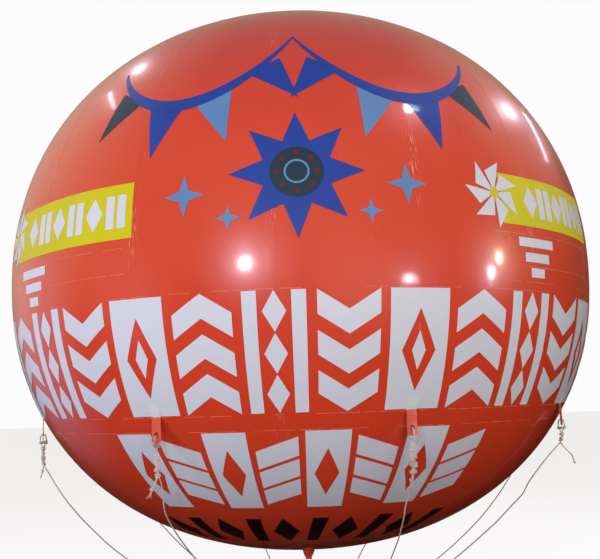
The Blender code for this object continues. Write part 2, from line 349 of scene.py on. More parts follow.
# %% The eight tether cords
cord_pieces = []
for i in range(TABS):
    azimuth = FIRST_TAB + i * TAB_STEP
    drawn = out_from_tab(smooth_through(cord_points(ROUTES[TAB_ROUTES[i]])), azimuth)
    piece, line = twist_cord(f"cord_line_{i + 1}", drawn)
    cord_pieces.append(hand_over(piece, [f"tether_cord_{i + 1}"]))

# %% [markdown]
# Below each eyelet the two strands are bound by wraps of their own cord, some tight and some loose. A wrap is a
# coil round the pair of strands, so its line is a flat helix: wide across the pair and narrow front to
# back, or deep right under the tab, where the two strands still stand apart. The tail ends in a plain
# overhand knot, whose line is the well-known three-looped curve, and its cut end frays into loose yarns.


# %% Wraps, end knots and loose yarns
def binding_line(tied):
    """The middle between the two strands, from just under the tab to where the line branches off."""
    middle = [Vector((TAB_PLANE, 0.0, -0.925)), Vector((TAB_PLANE, 0.0, -0.955))]
    middle += [Vector((out, 0.0, height)) for out, height in tied]
    return evenly_along(smooth_through(middle), 0.001)


def wrap_round(walk, height, turns, pitch, wide, deep, start):
    """A coil of cord round the strands at a height: its turns, their pitch, and its half axes across and in depth."""
    centre = min(range(len(walk)), key=lambda i: abs(walk[i].z - height))
    coil = []
    count = max(12, round(turns * 22))
    for i in range(count + 1):
        share = i / count
        along = (share - 0.5) * turns * pitch * 1000
        here = int(min(len(walk) - 2, max(1, round(centre + along))))
        ahead = (walk[here + 1] - walk[here - 1]).normalized()
        base = walk[here] + ahead * (centre + along - here) * 0.001
        side = Vector((0.0, 1.0, 0.0))
        front = ahead.cross(side).normalized()
        angle = start + 2 * math.pi * turns * share
        loose = 1.0 + 0.09 * math.sin(0.43 * angle + 2.0 * start)
        coil.append(base + side * wide * loose * math.cos(angle) + front * deep * loose * math.sin(angle))
    return coil


def end_knot(place, size=0.0034):
    """An overhand knot at a cord's tail, pulled tight, with its loops to the left and right."""
    loop = []
    for i in range(49):
        t = 2 * math.pi * (i / 48 * 0.93 + 0.035)
        across = Vector((-math.sin(3 * t), math.sin(t) + 2 * math.sin(2 * t), math.cos(t) - 2 * math.cos(2 * t)))
        loop.append(Vector(place) + across * size)
    return loop


def round_tube(name, points, radius, corners=2):
    """A plain round tube along the points, made a mesh."""
    curve = bpy.data.curves.new(name, "CURVE")
    curve.dimensions = "3D"
    curve.bevel_depth = radius
    curve.bevel_resolution = corners
    curve.use_fill_caps = True
    spline = curve.splines.new("POLY")
    spline.points.add(len(points) - 1)
    for knot, place in zip(spline.points, points):
        knot.co = (*place, 1.0)
    made = bpy.data.objects.new(name, curve)
    bpy.context.collection.objects.link(made)
    pick(made)
    bpy.ops.object.convert(target="MESH")
    smooth_by(bpy.context.object, 60)
    return bpy.context.object


def loose_yarns(place, way, luck, reach):
    """Lines of the yarns that spread from a cord's cut end."""
    yarns = []
    for i in range(YARNS):
        fan = 0.13 * (i - (YARNS - 1) / 2) + luck.uniform(-0.06, 0.06)
        lean = Vector((luck.uniform(-0.2, 0.2), fan, 0.0))
        curl = Vector((0.0, luck.uniform(-0.25, 0.25), 0.0))
        long = reach * luck.uniform(0.65, 1.0)
        yarns.append([place + (way + lean * t + curl * t * t) * long * t for t in np.linspace(0.0, 1.0, 8)])
    return yarns


YARNS = 8
print("a cut end spreads into", YARNS, "yarns")

# %% Binding the cords
TIGHT = (0.0080, 0.0123, 0.0078)
FULL = (0.0080, 0.0150, 0.0095)
LOOSE = (0.0080, 0.0170, 0.0105)
UNDER_TAB = (0.0080, 0.0128, 0.0222)
KNOTS = {
    "front": [
        (-0.949, 2.0, UNDER_TAB),
        (-0.996, 2.6, LOOSE),
        (-1.036, 1.8, FULL),
        (-1.074, 2.8, LOOSE),
        (-1.108, 2.0, FULL),
    ],
    "side": [(-0.950, 1.8, UNDER_TAB), (-0.988, 2.2, FULL), (-1.014, 2.4, TIGHT)],
    "plumb": [(-0.949, 2.0, UNDER_TAB), (-1.024, 1.6, TIGHT), (-1.070, 1.8, FULL), (-1.096, 2.2, TIGHT)],
    "bunched": [
        (-0.948, 2.2, UNDER_TAB),
        (-0.986, 2.8, FULL),
        (-1.014, 2.6, TIGHT),
        (-1.042, 3.0, FULL),
        (-1.072, 2.6, TIGHT),
    ],
}
yarn_luck = random.Random(3)
knot_pieces = []
for i in range(TABS):
    azimuth = FIRST_TAB + i * TAB_STEP
    route = ROUTES[TAB_ROUTES[i]]
    walk = binding_line(route["tied"])
    coils = []
    for n, (height, turns, shape) in enumerate(KNOTS[TAB_ROUTES[i]]):
        coils.append(wrap_round(walk, height, turns, *shape, 1.1 * n + 0.7 * i))
    tail_end, before_end = Vector(route["tail"][-1]), Vector(route["tail"][-2])
    if TAB_ROUTES[i] != "side":
        coils.append(end_knot(before_end))
    bound = [twist_cord("coil", out_from_tab(coil, azimuth))[0] for coil in coils]
    way = (tail_end - before_end).normalized()
    fray = 0.050 if TAB_ROUTES[i] == "plumb" else 0.030
    for yarn in loose_yarns(tail_end - way * 0.6 * fray, way, yarn_luck, fray):
        bound.append(round_tube("yarn", out_from_tab(yarn, azimuth), 0.0014))
    knots = join_as(f"cord_knots_{i + 1}", bound)
    knot_pieces.append(hand_over(knots))
print("knots on", len(knot_pieces), "cords")

# %% [markdown]
# At the other end each cord is hitched to the tether ring with a few turns round the ring's rod. The turns
# lie side by side, so their line is a coil bent along the ring.

# %% Hitches on the tether ring
hitch_pieces = []
for i in range(TABS):
    azimuth = FIRST_TAB + i * TAB_STEP
    coil = []
    for n in range(67):
        share = n / 66
        round_ring = azimuth + (share - 0.5) * 0.0165 / RING_RADIUS
        round_rod = 2 * math.pi * 2.0 * share - 0.8
        out = RING_RADIUS + (RING_ROD_RADIUS + CORD_RADIUS) * math.cos(round_rod)
        up = RING_Z + (RING_ROD_RADIUS + CORD_RADIUS) * math.sin(round_rod)
        coil.append(Vector((out * math.sin(round_ring), -out * math.cos(round_ring), up)))
    hitch = twist_cord(f"ring_hitch_{i + 1}", coil)[0]
    hitch_pieces.append(hand_over(hitch))

bpy.data.objects.remove(strand_section)
print("hitches:", len(hitch_pieces))

# %% [markdown]
# The envelope's shape is a curve turned about the upright axis: two half ovals that are a little fuller than
# an ellipse, the upper one taller than the lower. A maker cuts flat gores of film that take this shape when
# they are filled. So every skin piece in this lesson starts flat on a table, with its width along X and its
# height along Y, and one function lays it on the envelope.

# %% The envelope's curve
RADIUS = 1.830
TOP_RISE = 1.725
TOP_FULLNESS = 2.114
BOTTOM_DROP = 1.664
BOTTOM_FULLNESS = 2.159
SKIN = 0.010
GORES = 16
GORE_ANGLE = 2 * math.pi / GORES
GORE_SWELL = 0.003

turns = np.linspace(-math.pi / 2, math.pi / 2, 8001)


def profile_at(turn):
    """Distance from the axis, height, and the outward direction in that plane, from the base to the crown."""
    upper = turn >= 0
    rise = np.where(upper, TOP_RISE, BOTTOM_DROP)
    fullness = np.where(upper, TOP_FULLNESS, BOTTOM_FULLNESS)
    across = np.abs(np.cos(turn)) ** (2 / fullness)
    along = np.abs(np.sin(turn)) ** (2 / fullness)
    tilt_out = across ** (fullness - 1) / RADIUS
    tilt_up = np.sign(turn) * along ** (fullness - 1) / rise
    size = np.hypot(tilt_out, tilt_up)
    return RADIUS * across, np.sign(turn) * rise * along, tilt_out / size, tilt_up / size


outs, heights, _, _ = profile_at(turns)
arcs = np.concatenate([[0.0], np.cumsum(np.hypot(np.diff(outs), np.diff(heights)))])
arcs = arcs - np.interp(0.0, turns, arcs)
print("from the widest circle to the crown is", round(float(arcs[-1]), 3), "m along the skin")


# %% Laying flat film on the envelope
def arc_at_height(height):
    return float(np.interp(height, heights, arcs))


def arc_at_radius(radius, upper):
    """The place along the skin where it is that far from the axis, on the upper or the lower half."""
    half = turns >= 0 if upper else turns <= 0
    order = np.argsort(outs[half])
    return float(np.interp(radius, outs[half][order], arcs[half][order]))


def radius_at_arc(arc):
    return float(np.interp(arc, arcs, outs))


def on_skin(azimuth, arc, lift):
    """Points on the skin, raised by lift. Between its seams a filled gore swells a little."""
    out, up, tilt_out, tilt_up = profile_at(np.interp(arc, arcs, turns))
    swell = GORE_SWELL * np.sin(math.pi * azimuth / GORE_ANGLE) ** 2 * np.clip(out / RADIUS, 0.0, 1.0) ** 2
    out = out + (lift + swell) * tilt_out
    up = up + (lift + swell) * tilt_up
    return np.stack([out * np.sin(azimuth), -out * np.cos(azimuth), up], axis=-1)


def lay_on_skin(piece, reach, azimuth=0.0, lift=0.0):
    """Lays a flat piece on the envelope. Its X runs round at the distance reach from the axis, its Y up the skin."""
    count = len(piece.data.vertices)
    flat = np.zeros(count * 3)
    piece.data.vertices.foreach_get("co", flat)
    flat = flat.reshape(-1, 3)
    laid = on_skin(azimuth + flat[:, 0] / reach, flat[:, 1], lift + flat[:, 2])
    piece.data.vertices.foreach_set("co", laid.ravel())
    piece.data.update()
    return piece


print("the tab line lies", round(arc_at_height(TAB_LINE_Z), 3), "m along the skin from the widest circle")

# %% [markdown]
# One gore is a flat grid, with narrow rows and columns so that it bends smoothly. It is laid on the skin, it
# gets the wall's thickness inwards, and it is copied round the axis fifteen times. Its own map keeps
# the gore's width in U and its height in V, and the film's finish uses that to find the welds.

# %% The sixteen gores
CROWN_CAP_RADIUS = 0.160
BASE_CAP_RADIUS = 0.220
gore_foot = arc_at_radius(BASE_CAP_RADIUS, False)
gore_head = arc_at_radius(CROWN_CAP_RADIUS, True)
gore_rise = gore_head - gore_foot

pick(camera)
bpy.ops.mesh.primitive_grid_add(x_subdivisions=16, y_subdivisions=104, size=1.0, calc_uvs=True)
first_gore = bpy.context.object
first_gore.name = "gore_skin_01"
first_gore.data.name = "gore_skin_01"
bpy.ops.object.mode_set(mode="EDIT")
bpy.ops.mesh.select_all(action="SELECT")
bpy.ops.transform.resize(value=(GORE_ANGLE * RADIUS, gore_rise, 1.0))
bpy.ops.transform.translate(value=(0.0, gore_foot + gore_rise / 2, 0.0))
bpy.ops.object.mode_set(mode="OBJECT")
lay_on_skin(first_gore, RADIUS, GORE_ANGLE / 2)
wall = first_gore.modifiers.new("Wall", "SOLIDIFY")
wall.thickness = SKIN
wall.offset = -1.0
apply_all(first_gore)
smooth_by(first_gore, 40)

gores = [first_gore]
for i in range(1, GORES):
    gores.append(turn_about_axis(first_gore, f"gore_skin_{i + 1:02d}", i * GORE_ANGLE))
for i, gore in enumerate(gores):
    hand_over(gore, [f"gore_{i + 1:02d}"])
print("one gore has", len(first_gore.data.polygons), "faces")

# %% [markdown]
# The gores are joined by hot-bar welds. Each weld shows as a flat strip about 22 mm wide that stands a third of
# a millimetre proud, so it is a narrow strip of film laid along the seam. Its map goes on from the gore's
# own, so the film's finish runs over both.


# %% The seam welds
def film_strip(name, width, foot, head, rows):
    """A flat strip of film with its own map, width across and rows up."""
    pick(camera)
    bpy.ops.mesh.primitive_grid_add(x_subdivisions=2, y_subdivisions=rows, size=1.0, calc_uvs=True)
    strip = bpy.context.object
    strip.name = name
    strip.data.name = name
    bpy.ops.object.mode_set(mode="EDIT")
    bpy.ops.mesh.select_all(action="SELECT")
    bpy.ops.transform.resize(value=(width, head - foot, 1.0))
    bpy.ops.transform.translate(value=(0.0, (foot + head) / 2, 0.0))
    bpy.ops.object.mode_set(mode="OBJECT")
    return strip


def raise_film(piece, thickness):
    """Gives laid film its thickness, outwards."""
    build = piece.modifiers.new("Film", "SOLIDIFY")
    build.thickness = thickness
    build.offset = 1.0
    apply_all(piece)
    smooth_by(piece, 35)
    return piece


WELD_WIDTH = 0.022
strips = []
for i in range(GORES):
    strip = film_strip("weld", WELD_WIDTH, gore_foot, gore_head, 104)
    for vert in strip.data.vertices:
        narrow = radius_at_arc(vert.co.y) / RADIUS
        vert.co.x = vert.co.x / max(narrow, 0.05)
    for corner in strip.data.uv_layers.active.data:
        corner.uv.x = 1.0 + (corner.uv.x - 0.5) * WELD_WIDTH / (GORE_ANGLE * RADIUS)
    lay_on_skin(strip, RADIUS, i * GORE_ANGLE, 0.0001)
    strips.append(strip)
seam_welds = join_as("seam_welds", strips)
raise_film(seam_welds, 0.0003)
hand_over(seam_welds)
print("the seam welds have", len(seam_welds.data.polygons), "faces")

# %% [markdown]
# A round cap closes the gores at each pole, lapped over their ends. It is a turned piece: an outline is drawn
# point by point with extrude, and spun about the axis. The doubles at the axis and at the closing seam are
# merged, and the normals are made to face out.


# %% Turned pieces
def draw_outline(name, points, closed):
    """Extrudes one point after another in the plane of X and Z."""
    pick(camera)
    bpy.ops.mesh.primitive_plane_add(size=0.001)
    made = bpy.context.object
    made.name = name
    made.data.name = name
    bpy.ops.object.mode_set(mode="EDIT")
    bpy.ops.mesh.select_all(action="SELECT")
    bpy.ops.mesh.merge(type="CENTER")
    bpy.ops.transform.translate(value=(points[0][0], 0.0, points[0][1]))
    for a, b in zip(points, points[1:]):
        bpy.ops.mesh.extrude_region_move(TRANSFORM_OT_translate={"value": (b[0] - a[0], 0.0, b[1] - a[1])})
    if closed:
        a, b = points[-1], points[0]
        bpy.ops.mesh.extrude_region_move(TRANSFORM_OT_translate={"value": (b[0] - a[0], 0.0, b[1] - a[1])})
        bpy.ops.mesh.select_all(action="SELECT")
        bpy.ops.mesh.remove_doubles(threshold=0.000001)
    bpy.ops.object.mode_set(mode="OBJECT")
    return made


def spin_outline(name, points, closed, steps):
    """An outline of (distance from the axis, height), spun into a closed turned piece."""
    made = draw_outline(name, points, closed)
    bpy.ops.object.mode_set(mode="EDIT")
    bpy.ops.mesh.select_all(action="SELECT")
    bpy.ops.mesh.spin(steps=steps, angle=2 * math.pi, center=(0.0, 0.0, 0.0), axis=(0.0, 0.0, 1.0))
    bpy.ops.mesh.select_all(action="SELECT")
    bpy.ops.mesh.remove_doubles(threshold=0.00002)
    bpy.ops.mesh.normals_make_consistent(inside=False)
    bpy.ops.object.mode_set(mode="OBJECT")
    return made


def skin_outline(start, stop, count, depth):
    """Points of the skin's curve between two places along it, at a depth below it."""
    outline = []
    for arc in np.linspace(start, stop, count):
        x, y, z = on_skin(0.0, arc, -depth)
        outline.append((max(0.0, -float(y)), float(z)))
    return outline


print("turned pieces can be made")

# %% The crown cap and the base cap
CAP_LAP = 0.014
SLEEVE_RADIUS = 0.040

crown_edge = arc_at_radius(CROWN_CAP_RADIUS + CAP_LAP, True)
crown_foot = arc_at_radius(CROWN_CAP_RADIUS - 0.0004, True)
crown_outline = skin_outline(float(arcs[-1]), crown_edge, 14, -0.0016)
crown_outline += skin_outline(crown_edge - 0.0006, crown_edge - 0.0006, 1, -0.0010)
crown_outline += skin_outline(crown_edge - 0.0004, crown_edge - 0.0004, 1, -0.0003)
crown_outline += skin_outline(crown_foot, crown_foot, 1, -0.0003)
crown_outline += skin_outline(crown_foot, float(arcs[-1]), 8, SKIN)
crown_cap = spin_outline("crown_patch", crown_outline, False, 96)
smooth_by(crown_cap, 40)
hand_over(crown_cap, ["crown_cap"])

base_edge = arc_at_radius(BASE_CAP_RADIUS + CAP_LAP, False)
base_foot = arc_at_radius(BASE_CAP_RADIUS - 0.0004, False)
base_hole = arc_at_radius(SLEEVE_RADIUS, False)
base_outline = skin_outline(base_hole, base_edge, 14, -0.0002)
base_outline += skin_outline(base_edge + 0.0006, base_edge + 0.0006, 1, -0.0001)
base_outline += skin_outline(base_foot, base_foot, 1, 0.0)
base_outline += skin_outline(base_foot, base_hole, 8, SKIN)
base_cap = spin_outline("base_patch", base_outline, True, 96)
smooth_by(base_cap, 40)
hand_over(base_cap, ["base_cap"])
print("caps:", [round(side, 3) for side in crown_cap.dimensions], [round(side, 3) for side in base_cap.dimensions])

# %% [markdown]
# The print on a sky balloon is cut from thin coloured film, or painted with vinyl ink through a mask, so each
# figure is a thin flat shape with crisp edges. The figures here are plain geometric ones, in the colours and
# the size that suit this balloon. Every figure is a few flat pieces with three or four corners, cut
# smaller so that they bend with the skin. It is drawn once, repeated with an Array, laid on the skin, and given
# its thickness. Each next colour lies a little higher, as ink over ink does.

# %% Cutting figures from film
FILM = 0.0004
FIRST_LAYER = 0.0010
NEXT_LAYER = 0.0006


def cut_film(name, shapes, cuts):
    """Flat shapes of three or four corners, laid at z = 0 as one mesh, each side cut so many times."""
    pick(camera)
    bpy.ops.mesh.primitive_circle_add(vertices=len(shapes[0]), fill_type="NGON")
    film = bpy.context.object
    film.name = name
    film.data.name = name
    bpy.ops.object.mode_set(mode="EDIT")
    bpy.ops.mesh.select_all(action="SELECT")
    for i, corners in enumerate(shapes):
        if i:
            bpy.ops.mesh.primitive_circle_add(vertices=len(corners), fill_type="NGON")
        sheet = bmesh.from_edit_mesh(film.data)
        fresh = [vert for vert in sheet.verts if vert.select]
        for vert, corner in zip(fresh, corners):
            vert.co = (corner[0], corner[1], 0.0)
        bmesh.update_edit_mesh(film.data)
        if cuts:
            bpy.ops.mesh.subdivide(number_cuts=cuts)
    bpy.ops.mesh.select_all(action="SELECT")
    bpy.ops.mesh.remove_doubles(threshold=0.0002)
    bpy.ops.mesh.select_all(action="DESELECT")
    sheet = bmesh.from_edit_mesh(film.data)
    sheet.normal_update()
    for face in sheet.faces:
        face.select_set(face.normal.z < 0)
    bmesh.update_edit_mesh(film.data)
    bpy.ops.mesh.flip_normals()
    bpy.ops.object.mode_set(mode="OBJECT")
    return film


def repeat_along(film, count, step):
    """Repeats flat film along its width."""
    row = film.modifiers.new("Repeat", "ARRAY")
    row.count = count
    row.use_relative_offset = False
    row.use_constant_offset = True
    row.constant_offset_displace = (step, 0.0, 0.0)
    apply_all(film)
    return film


def moved(shapes, right=0.0, up=0.0, wide=1.0, tall=1.0):
    """Shapes scaled, then moved, on the table."""
    return [[(x * wide + right, y * tall + up) for x, y in corners] for corners in shapes]


def put_up(film, reach, azimuth, layer):
    """Lays finished flat film on the envelope in its layer."""
    lay_on_skin(film, reach, azimuth, FIRST_LAYER + layer * NEXT_LAYER)
    raise_film(film, FILM)
    return hand_over(film)


print("one film is", FILM * 1000, "mm thick")


# %% Plain figures
def lozenge(wide, tall, right=0.0, up=0.0):
    return moved([[(0.0, tall), (-wide, 0.0), (0.0, -tall), (wide, 0.0)]], right, up)


def bar(wide, tall, right=0.0, up=0.0, lean=0.0):
    corners = [(-wide + lean, tall), (-wide - lean, -tall), (wide - lean, -tall), (wide + lean, tall)]
    return moved([corners], right, up)


def window_panel(wide, tall, hole_wide, hole_tall):
    """A panel with a lozenge cut out of it."""
    shapes = []
    for x in (1, -1):
        for y in (1, -1):
            corner = (x * wide, y * tall)
            middle = (x * hole_wide / 2, y * hole_tall / 2)
            shapes.append([(0.0, y * tall), corner, middle, (0.0, y * hole_tall)])
            shapes.append([corner, (x * wide, 0.0), (x * hole_wide, 0.0), middle])
    return shapes


def chevrons(wide, tops, drop, thick, way=1):
    """Chevrons under each other, pointing up for way 1 and down for way -1."""
    shapes = []
    for top in tops:
        for side in (-1, 1):
            edge = [(0.0, top), (side * wide, top - drop), (side * wide, top - drop - thick), (0.0, top - thick)]
            shapes.append([(x, way * y) for x, y in edge])
    return shapes


def star(points, outer, inner):
    """A star of kites that meet in the middle."""
    shapes = []
    for i in range(points):
        a = 2 * math.pi * i / points + math.pi / 2
        half = math.pi / points
        left = (inner * math.cos(a + half), inner * math.sin(a + half))
        right = (inner * math.cos(a - half), inner * math.sin(a - half))
        shapes.append([(0.0, 0.0), right, (outer * math.cos(a), outer * math.sin(a)), left])
    return shapes


def ring(outer, inner, parts=32):
    """A ring of film, or a disc where the inner radius is nothing."""
    shapes = []
    for i in range(parts):
        a, b = (2 * math.pi * k / parts for k in (i, i + 1))
        far = [(outer * math.cos(a), outer * math.sin(a)), (outer * math.cos(b), outer * math.sin(b))]
        near = [(inner * math.cos(b), inner * math.sin(b)), (inner * math.cos(a), inner * math.sin(a))]
        shapes.append(far + near if inner else far + [(0.0, 0.0)])
    return shapes


def pinwheel(blades, size):
    """A paper windmill: each blade is a triangle with a folded-in side."""
    shapes = []
    for i in range(blades):
        a = 2 * math.pi * i / blades + 0.3
        tip = (size * math.cos(a), size * math.sin(a))
        side = (0.66 * size * math.cos(a + 0.72), 0.66 * size * math.sin(a + 0.72))
        shapes.append([(0.0, 0.0), tip, side])
    return shapes


print("figures: lozenge, bar, window panel, chevrons, star, ring and pinwheel")

# %% [markdown]
# The tall white row runs all the way round under the widest circle, in four figures that repeat at every
# second seam: a panel with a lozenge window, chevrons up, bars with lozenges between them, and chevrons
# down. Its foot is on the tab line.

# %% The tall white row
row_head = arc_at_height(-0.2363)
row_foot = arc_at_height(-0.8067)
row_middle = (row_head + row_foot) / 2
row_half = (row_head - row_foot) / 2
row_reach = radius_at_arc(row_middle)
row_step = math.radians(11.25) * row_reach

third = 2 * row_half / 3.11
tops = [row_half - k * third for k in range(3)]
drop = 0.50 * third
thick = 0.61 * third

tall_row = moved(window_panel(0.150, row_half, 0.088, 0.205), 0.0, row_middle)
tall_row += lozenge(0.036, 0.098, 0.0, row_middle)
tall_row += moved(chevrons(0.148, tops, drop, thick), row_step, row_middle)
tall_row += bar(0.034, row_half, 2 * row_step - 0.114, row_middle)
tall_row += bar(0.034, row_half, 2 * row_step + 0.114, row_middle)
for k in (-1, 0, 1):
    tall_row += lozenge(0.056, 0.098, 2 * row_step, row_middle + k * 0.202)
tall_row += moved(chevrons(0.148, tops, drop, thick, -1), 3 * row_step, row_middle)

tall_film = repeat_along(cut_film("tall_white_row", tall_row, 5), 8, 4 * row_step)
put_up(tall_film, row_reach, math.radians(22.5), 0)
print("the tall row has", len(tall_film.data.polygons), "faces")

# %% The short white row, on the front and the back
SHORT_FIGURES = 8
short_head = arc_at_height(-0.8952)
short_foot = arc_at_height(-1.2925)
short_middle = (short_head + short_foot) / 2
short_half = (short_head - short_foot) / 2
short_reach = radius_at_arc(short_middle)
short_step = math.radians(75 / SHORT_FIGURES) * short_reach

short_row = []
for k in range(SHORT_FIGURES):
    place = (k - (SHORT_FIGURES - 1) / 2) * short_step
    if k % 2 == 0:
        short_row += moved(window_panel(0.102, short_half, 0.062, 0.165), place, short_middle)
    else:
        lean = 0.055 if k % 4 == 1 else -0.055
        for row in (-1, 0, 1):
            slope = [(-0.100, 0.075 + lean), (-0.100, -0.075 + lean), (0.100, -0.075 - lean), (0.100, 0.075 - lean)]
            short_row += moved([slope], place, short_middle + row * 0.1375 * short_half / 0.2708, 1.0, 0.78)
short_film = repeat_along(cut_film("short_white_row", short_row, 5), 2, math.pi * short_reach)
put_up(short_film, short_reach, math.radians(3.5), 0)
print("the short row has", len(short_film.data.polygons), "faces")

# %% The black row near the base
BLACK_FIGURES = 10
black_head = arc_at_height(-1.361)
black_foot = arc_at_height(-1.5156)
black_middle = (black_head + black_foot) / 2
black_half = (black_head - black_foot) / 2
black_reach = radius_at_arc(black_middle)
black_step = math.radians(92 / BLACK_FIGURES) * black_reach

black_row = []
for k in range(BLACK_FIGURES):
    place = (k - (BLACK_FIGURES - 1) / 2) * black_step
    if k % 2:
        black_row += bar(0.036, black_half, place, black_middle, 0.018)
    else:
        black_row += lozenge(0.070, black_half, place, black_middle)
black_film = repeat_along(cut_film("black_row", black_row, 6), 2, math.pi * black_reach)
put_up(black_film, black_reach, math.radians(2.0), 0)
print("the black row has", len(black_film.data.polygons), "faces")

# %% [markdown]
# Above the tall row there are two yellow panels on each side of the balloon, with white figures on them, a
# white pinwheel at the left end of each, and three white bars below.

# %% The yellow panels and what is on them
PANEL_REACH = 1.815
panels = [
    {"from": math.radians(-56.5), "to": math.radians(-22.6), "foot": 0.0653, "head": 0.3500},
    {"from": math.radians(38.5), "to": math.radians(70.0), "foot": 0.1049, "head": 0.3738},
]
panel_shapes = []
on_panels = []
wheels = []
hubs = []
marks = []
for panel in panels:
    left = panel["from"] * PANEL_REACH
    right = panel["to"] * PANEL_REACH
    foot, head = panel["foot"], panel["head"]
    middle = (foot + head) / 2
    for k in range(4):
        a = left + (right - left) * k / 4
        b = left + (right - left) * (k + 1) / 4
        panel_shapes.append([(a, head), (a, foot), (b, foot), (b, head)])
    first = left + 0.17
    step = (right - 0.03 - first) / 6
    for k in range(6):
        place = first + (k + 0.5) * step
        if k % 2 == 0:
            on_panels += lozenge(0.060, 0.088, place, middle)
        else:
            on_panels += bar(0.026, 0.085, place - 0.036, middle)
            on_panels += bar(0.026, 0.085, place + 0.036, middle)
    wheels += moved(pinwheel(7, 0.185), left - 0.045, middle + 0.020)
    hubs += moved(ring(0.030, 0.0, 16), left - 0.045, middle + 0.020)
    for k in range(3):
        marks += bar(0.150 - 0.046 * k, 0.024, left + 0.255, foot - 0.085 - 0.078 * k)

panel_film = repeat_along(cut_film("yellow_panels", panel_shapes, 7), 2, math.pi * PANEL_REACH)
put_up(panel_film, PANEL_REACH, 0.0, 0)
panel_figures = repeat_along(cut_film("panel_figures", on_panels, 3), 2, math.pi * PANEL_REACH)
put_up(panel_figures, PANEL_REACH, 0.0, 1)
wheel_film = repeat_along(cut_film("pinwheels", wheels, 4), 2, math.pi * PANEL_REACH)
put_up(wheel_film, PANEL_REACH, 0.0, 1)
hub_film = repeat_along(cut_film("pinwheel_hubs", hubs, 0), 2, math.pi * PANEL_REACH)
put_up(hub_film, PANEL_REACH, 0.0, 2)
mark_film = repeat_along(cut_film("bar_marks", marks, 4), 2, math.pi * PANEL_REACH)
put_up(mark_film, PANEL_REACH, 0.0, 0)
print("panels, figures, pinwheels and bars are up")

# %% [markdown]
# The upper front has a festive design of its own, repeated on the back: two swags of bunting that hang from a
# tapering blue ribbon, and a blue star with a dark disc below them. Near the crown the skin is
# narrower than at the widest circle, so a figure there is drawn wider on the table by as much.

# %% A figure's place on the upper front
ART_REACH = 1.60
ART_MIDDLE = math.radians(4.0)


def art_place(degrees, height):
    """The place on the table of a point that many degrees from the design's middle, at that height."""
    return math.radians(degrees) * ART_REACH, arc_at_height(height)


def art_moved(shapes, degrees, height, turn=0.0):
    """Shapes turned and put at a place, widened by what the skin is narrower there."""
    right, up = art_place(degrees, height)
    wider = ART_REACH / radius_at_arc(up)
    c, s = math.cos(turn), math.sin(turn)
    turned = [[(x * c - y * s, x * s + y * c) for x, y in corners] for corners in shapes]
    return moved(turned, right, up, wider)


print("the design spans", round(math.degrees(2 * 0.7), 0), "degrees")

# %% The bunting
SWAG_DEGREES = 38.0


def swag_height(degrees):
    """The ribbon's height: high at both ends and in the middle, sagging between."""
    share = abs(degrees) / SWAG_DEGREES
    sag = 4 * share * (1 - share)
    return 1.16 - 0.10 * share - 0.36 * sag


ribbon = []
steps = 56
for k in range(steps):
    ends = []
    for step_place in (k, k + 1):
        degrees = -SWAG_DEGREES + 2 * SWAG_DEGREES * step_place / steps
        share = abs(degrees) / SWAG_DEGREES
        half_width = 0.012 + 0.026 * math.sin(math.pi * min(1.0, 1.15 * (1 - share) * share * 3.2) / 2)
        right, up = art_place(degrees, swag_height(degrees))
        ends.append((right, up, half_width))
    (a, b, c), (d, e, f) = ends
    ribbon.append([(a, b + c), (a, b - c), (d, e - f), (d, e + f)])
ribbon_film = repeat_along(cut_film("bunting_ribbon", ribbon, 1), 2, math.pi * ART_REACH)

pennants = {"blue": [], "pale_blue": [], "dark_teal": []}
colours = ("blue", "pale_blue", "blue", "dark_teal")
for side in (-1, 1):
    for k in range(4):
        degrees = side * (5.6 + 8.6 * k)
        slope = (swag_height(degrees + 1) - swag_height(degrees - 1)) / (2 * math.radians(1) * 1.6)
        flag = [[(-0.100, 0.0), (0.0, -0.300), (0.100, 0.0)]]
        pennants[colours[k]] += art_moved(flag, degrees, swag_height(degrees) - 0.012, math.atan(slope) * 0.75)
for colour, shapes in pennants.items():
    flags = repeat_along(cut_film(f"{colour}_pennants", shapes, 7), 2, math.pi * ART_REACH)
    put_up(flags, ART_REACH, ART_MIDDLE, 0)
put_up(ribbon_film, ART_REACH, ART_MIDDLE, 1)
print("pennants:", sum(len(shapes) for shapes in pennants.values()))

# %% The star and its disc
big_star = art_moved(star(8, 0.330, 0.175), 0.0, 0.330)
star_film = repeat_along(cut_film("blue_star", big_star, 6), 2, math.pi * ART_REACH)
put_up(star_film, ART_REACH, ART_MIDDLE, 0)

disc_film = repeat_along(cut_film("dark_disc", art_moved(ring(0.130, 0.0), 0.0, 0.330), 2), 2, math.pi * ART_REACH)
put_up(disc_film, ART_REACH, ART_MIDDLE, 1)

hoop_film = repeat_along(cut_film("pale_hoop", art_moved(ring(0.062, 0.052), 0.0, 0.330), 0), 2, math.pi * ART_REACH)
put_up(hoop_film, ART_REACH, ART_MIDDLE, 2)

dots = []
for k in range(8):
    turn = 2 * math.pi * k / 8
    dot = moved(ring(0.014, 0.0, 12), 0.096 * math.cos(turn), 0.096 * math.sin(turn))
    dots += art_moved(dot, 0.0, 0.330)
dot_film = repeat_along(cut_film("red_dots", dots, 0), 2, math.pi * ART_REACH)
put_up(dot_film, ART_REACH, ART_MIDDLE, 2)

little_stars = []
for degrees, height, size in ((-17.5, 0.24, 0.105), (-10.5, 0.115, 0.06), (17.0, 0.27, 0.105), (11.0, 0.13, 0.06)):
    little_stars += art_moved(star(4, size, 0.34 * size), degrees, height)
little_film = repeat_along(cut_film("pale_stars", little_stars, 3), 2, math.pi * ART_REACH)
put_up(little_film, ART_REACH, ART_MIDDLE, 0)
print("star, disc, hoop, dots and small stars are up")

# %% [markdown]
# Before the colours go on, a maker snaps level lines round the balloon to keep the rows straight, and traces
# of them stay as thin pale dashes, just above and below the rows and under the panels. They are short
# strips 3 mm wide with random gaps, from a fixed seed.

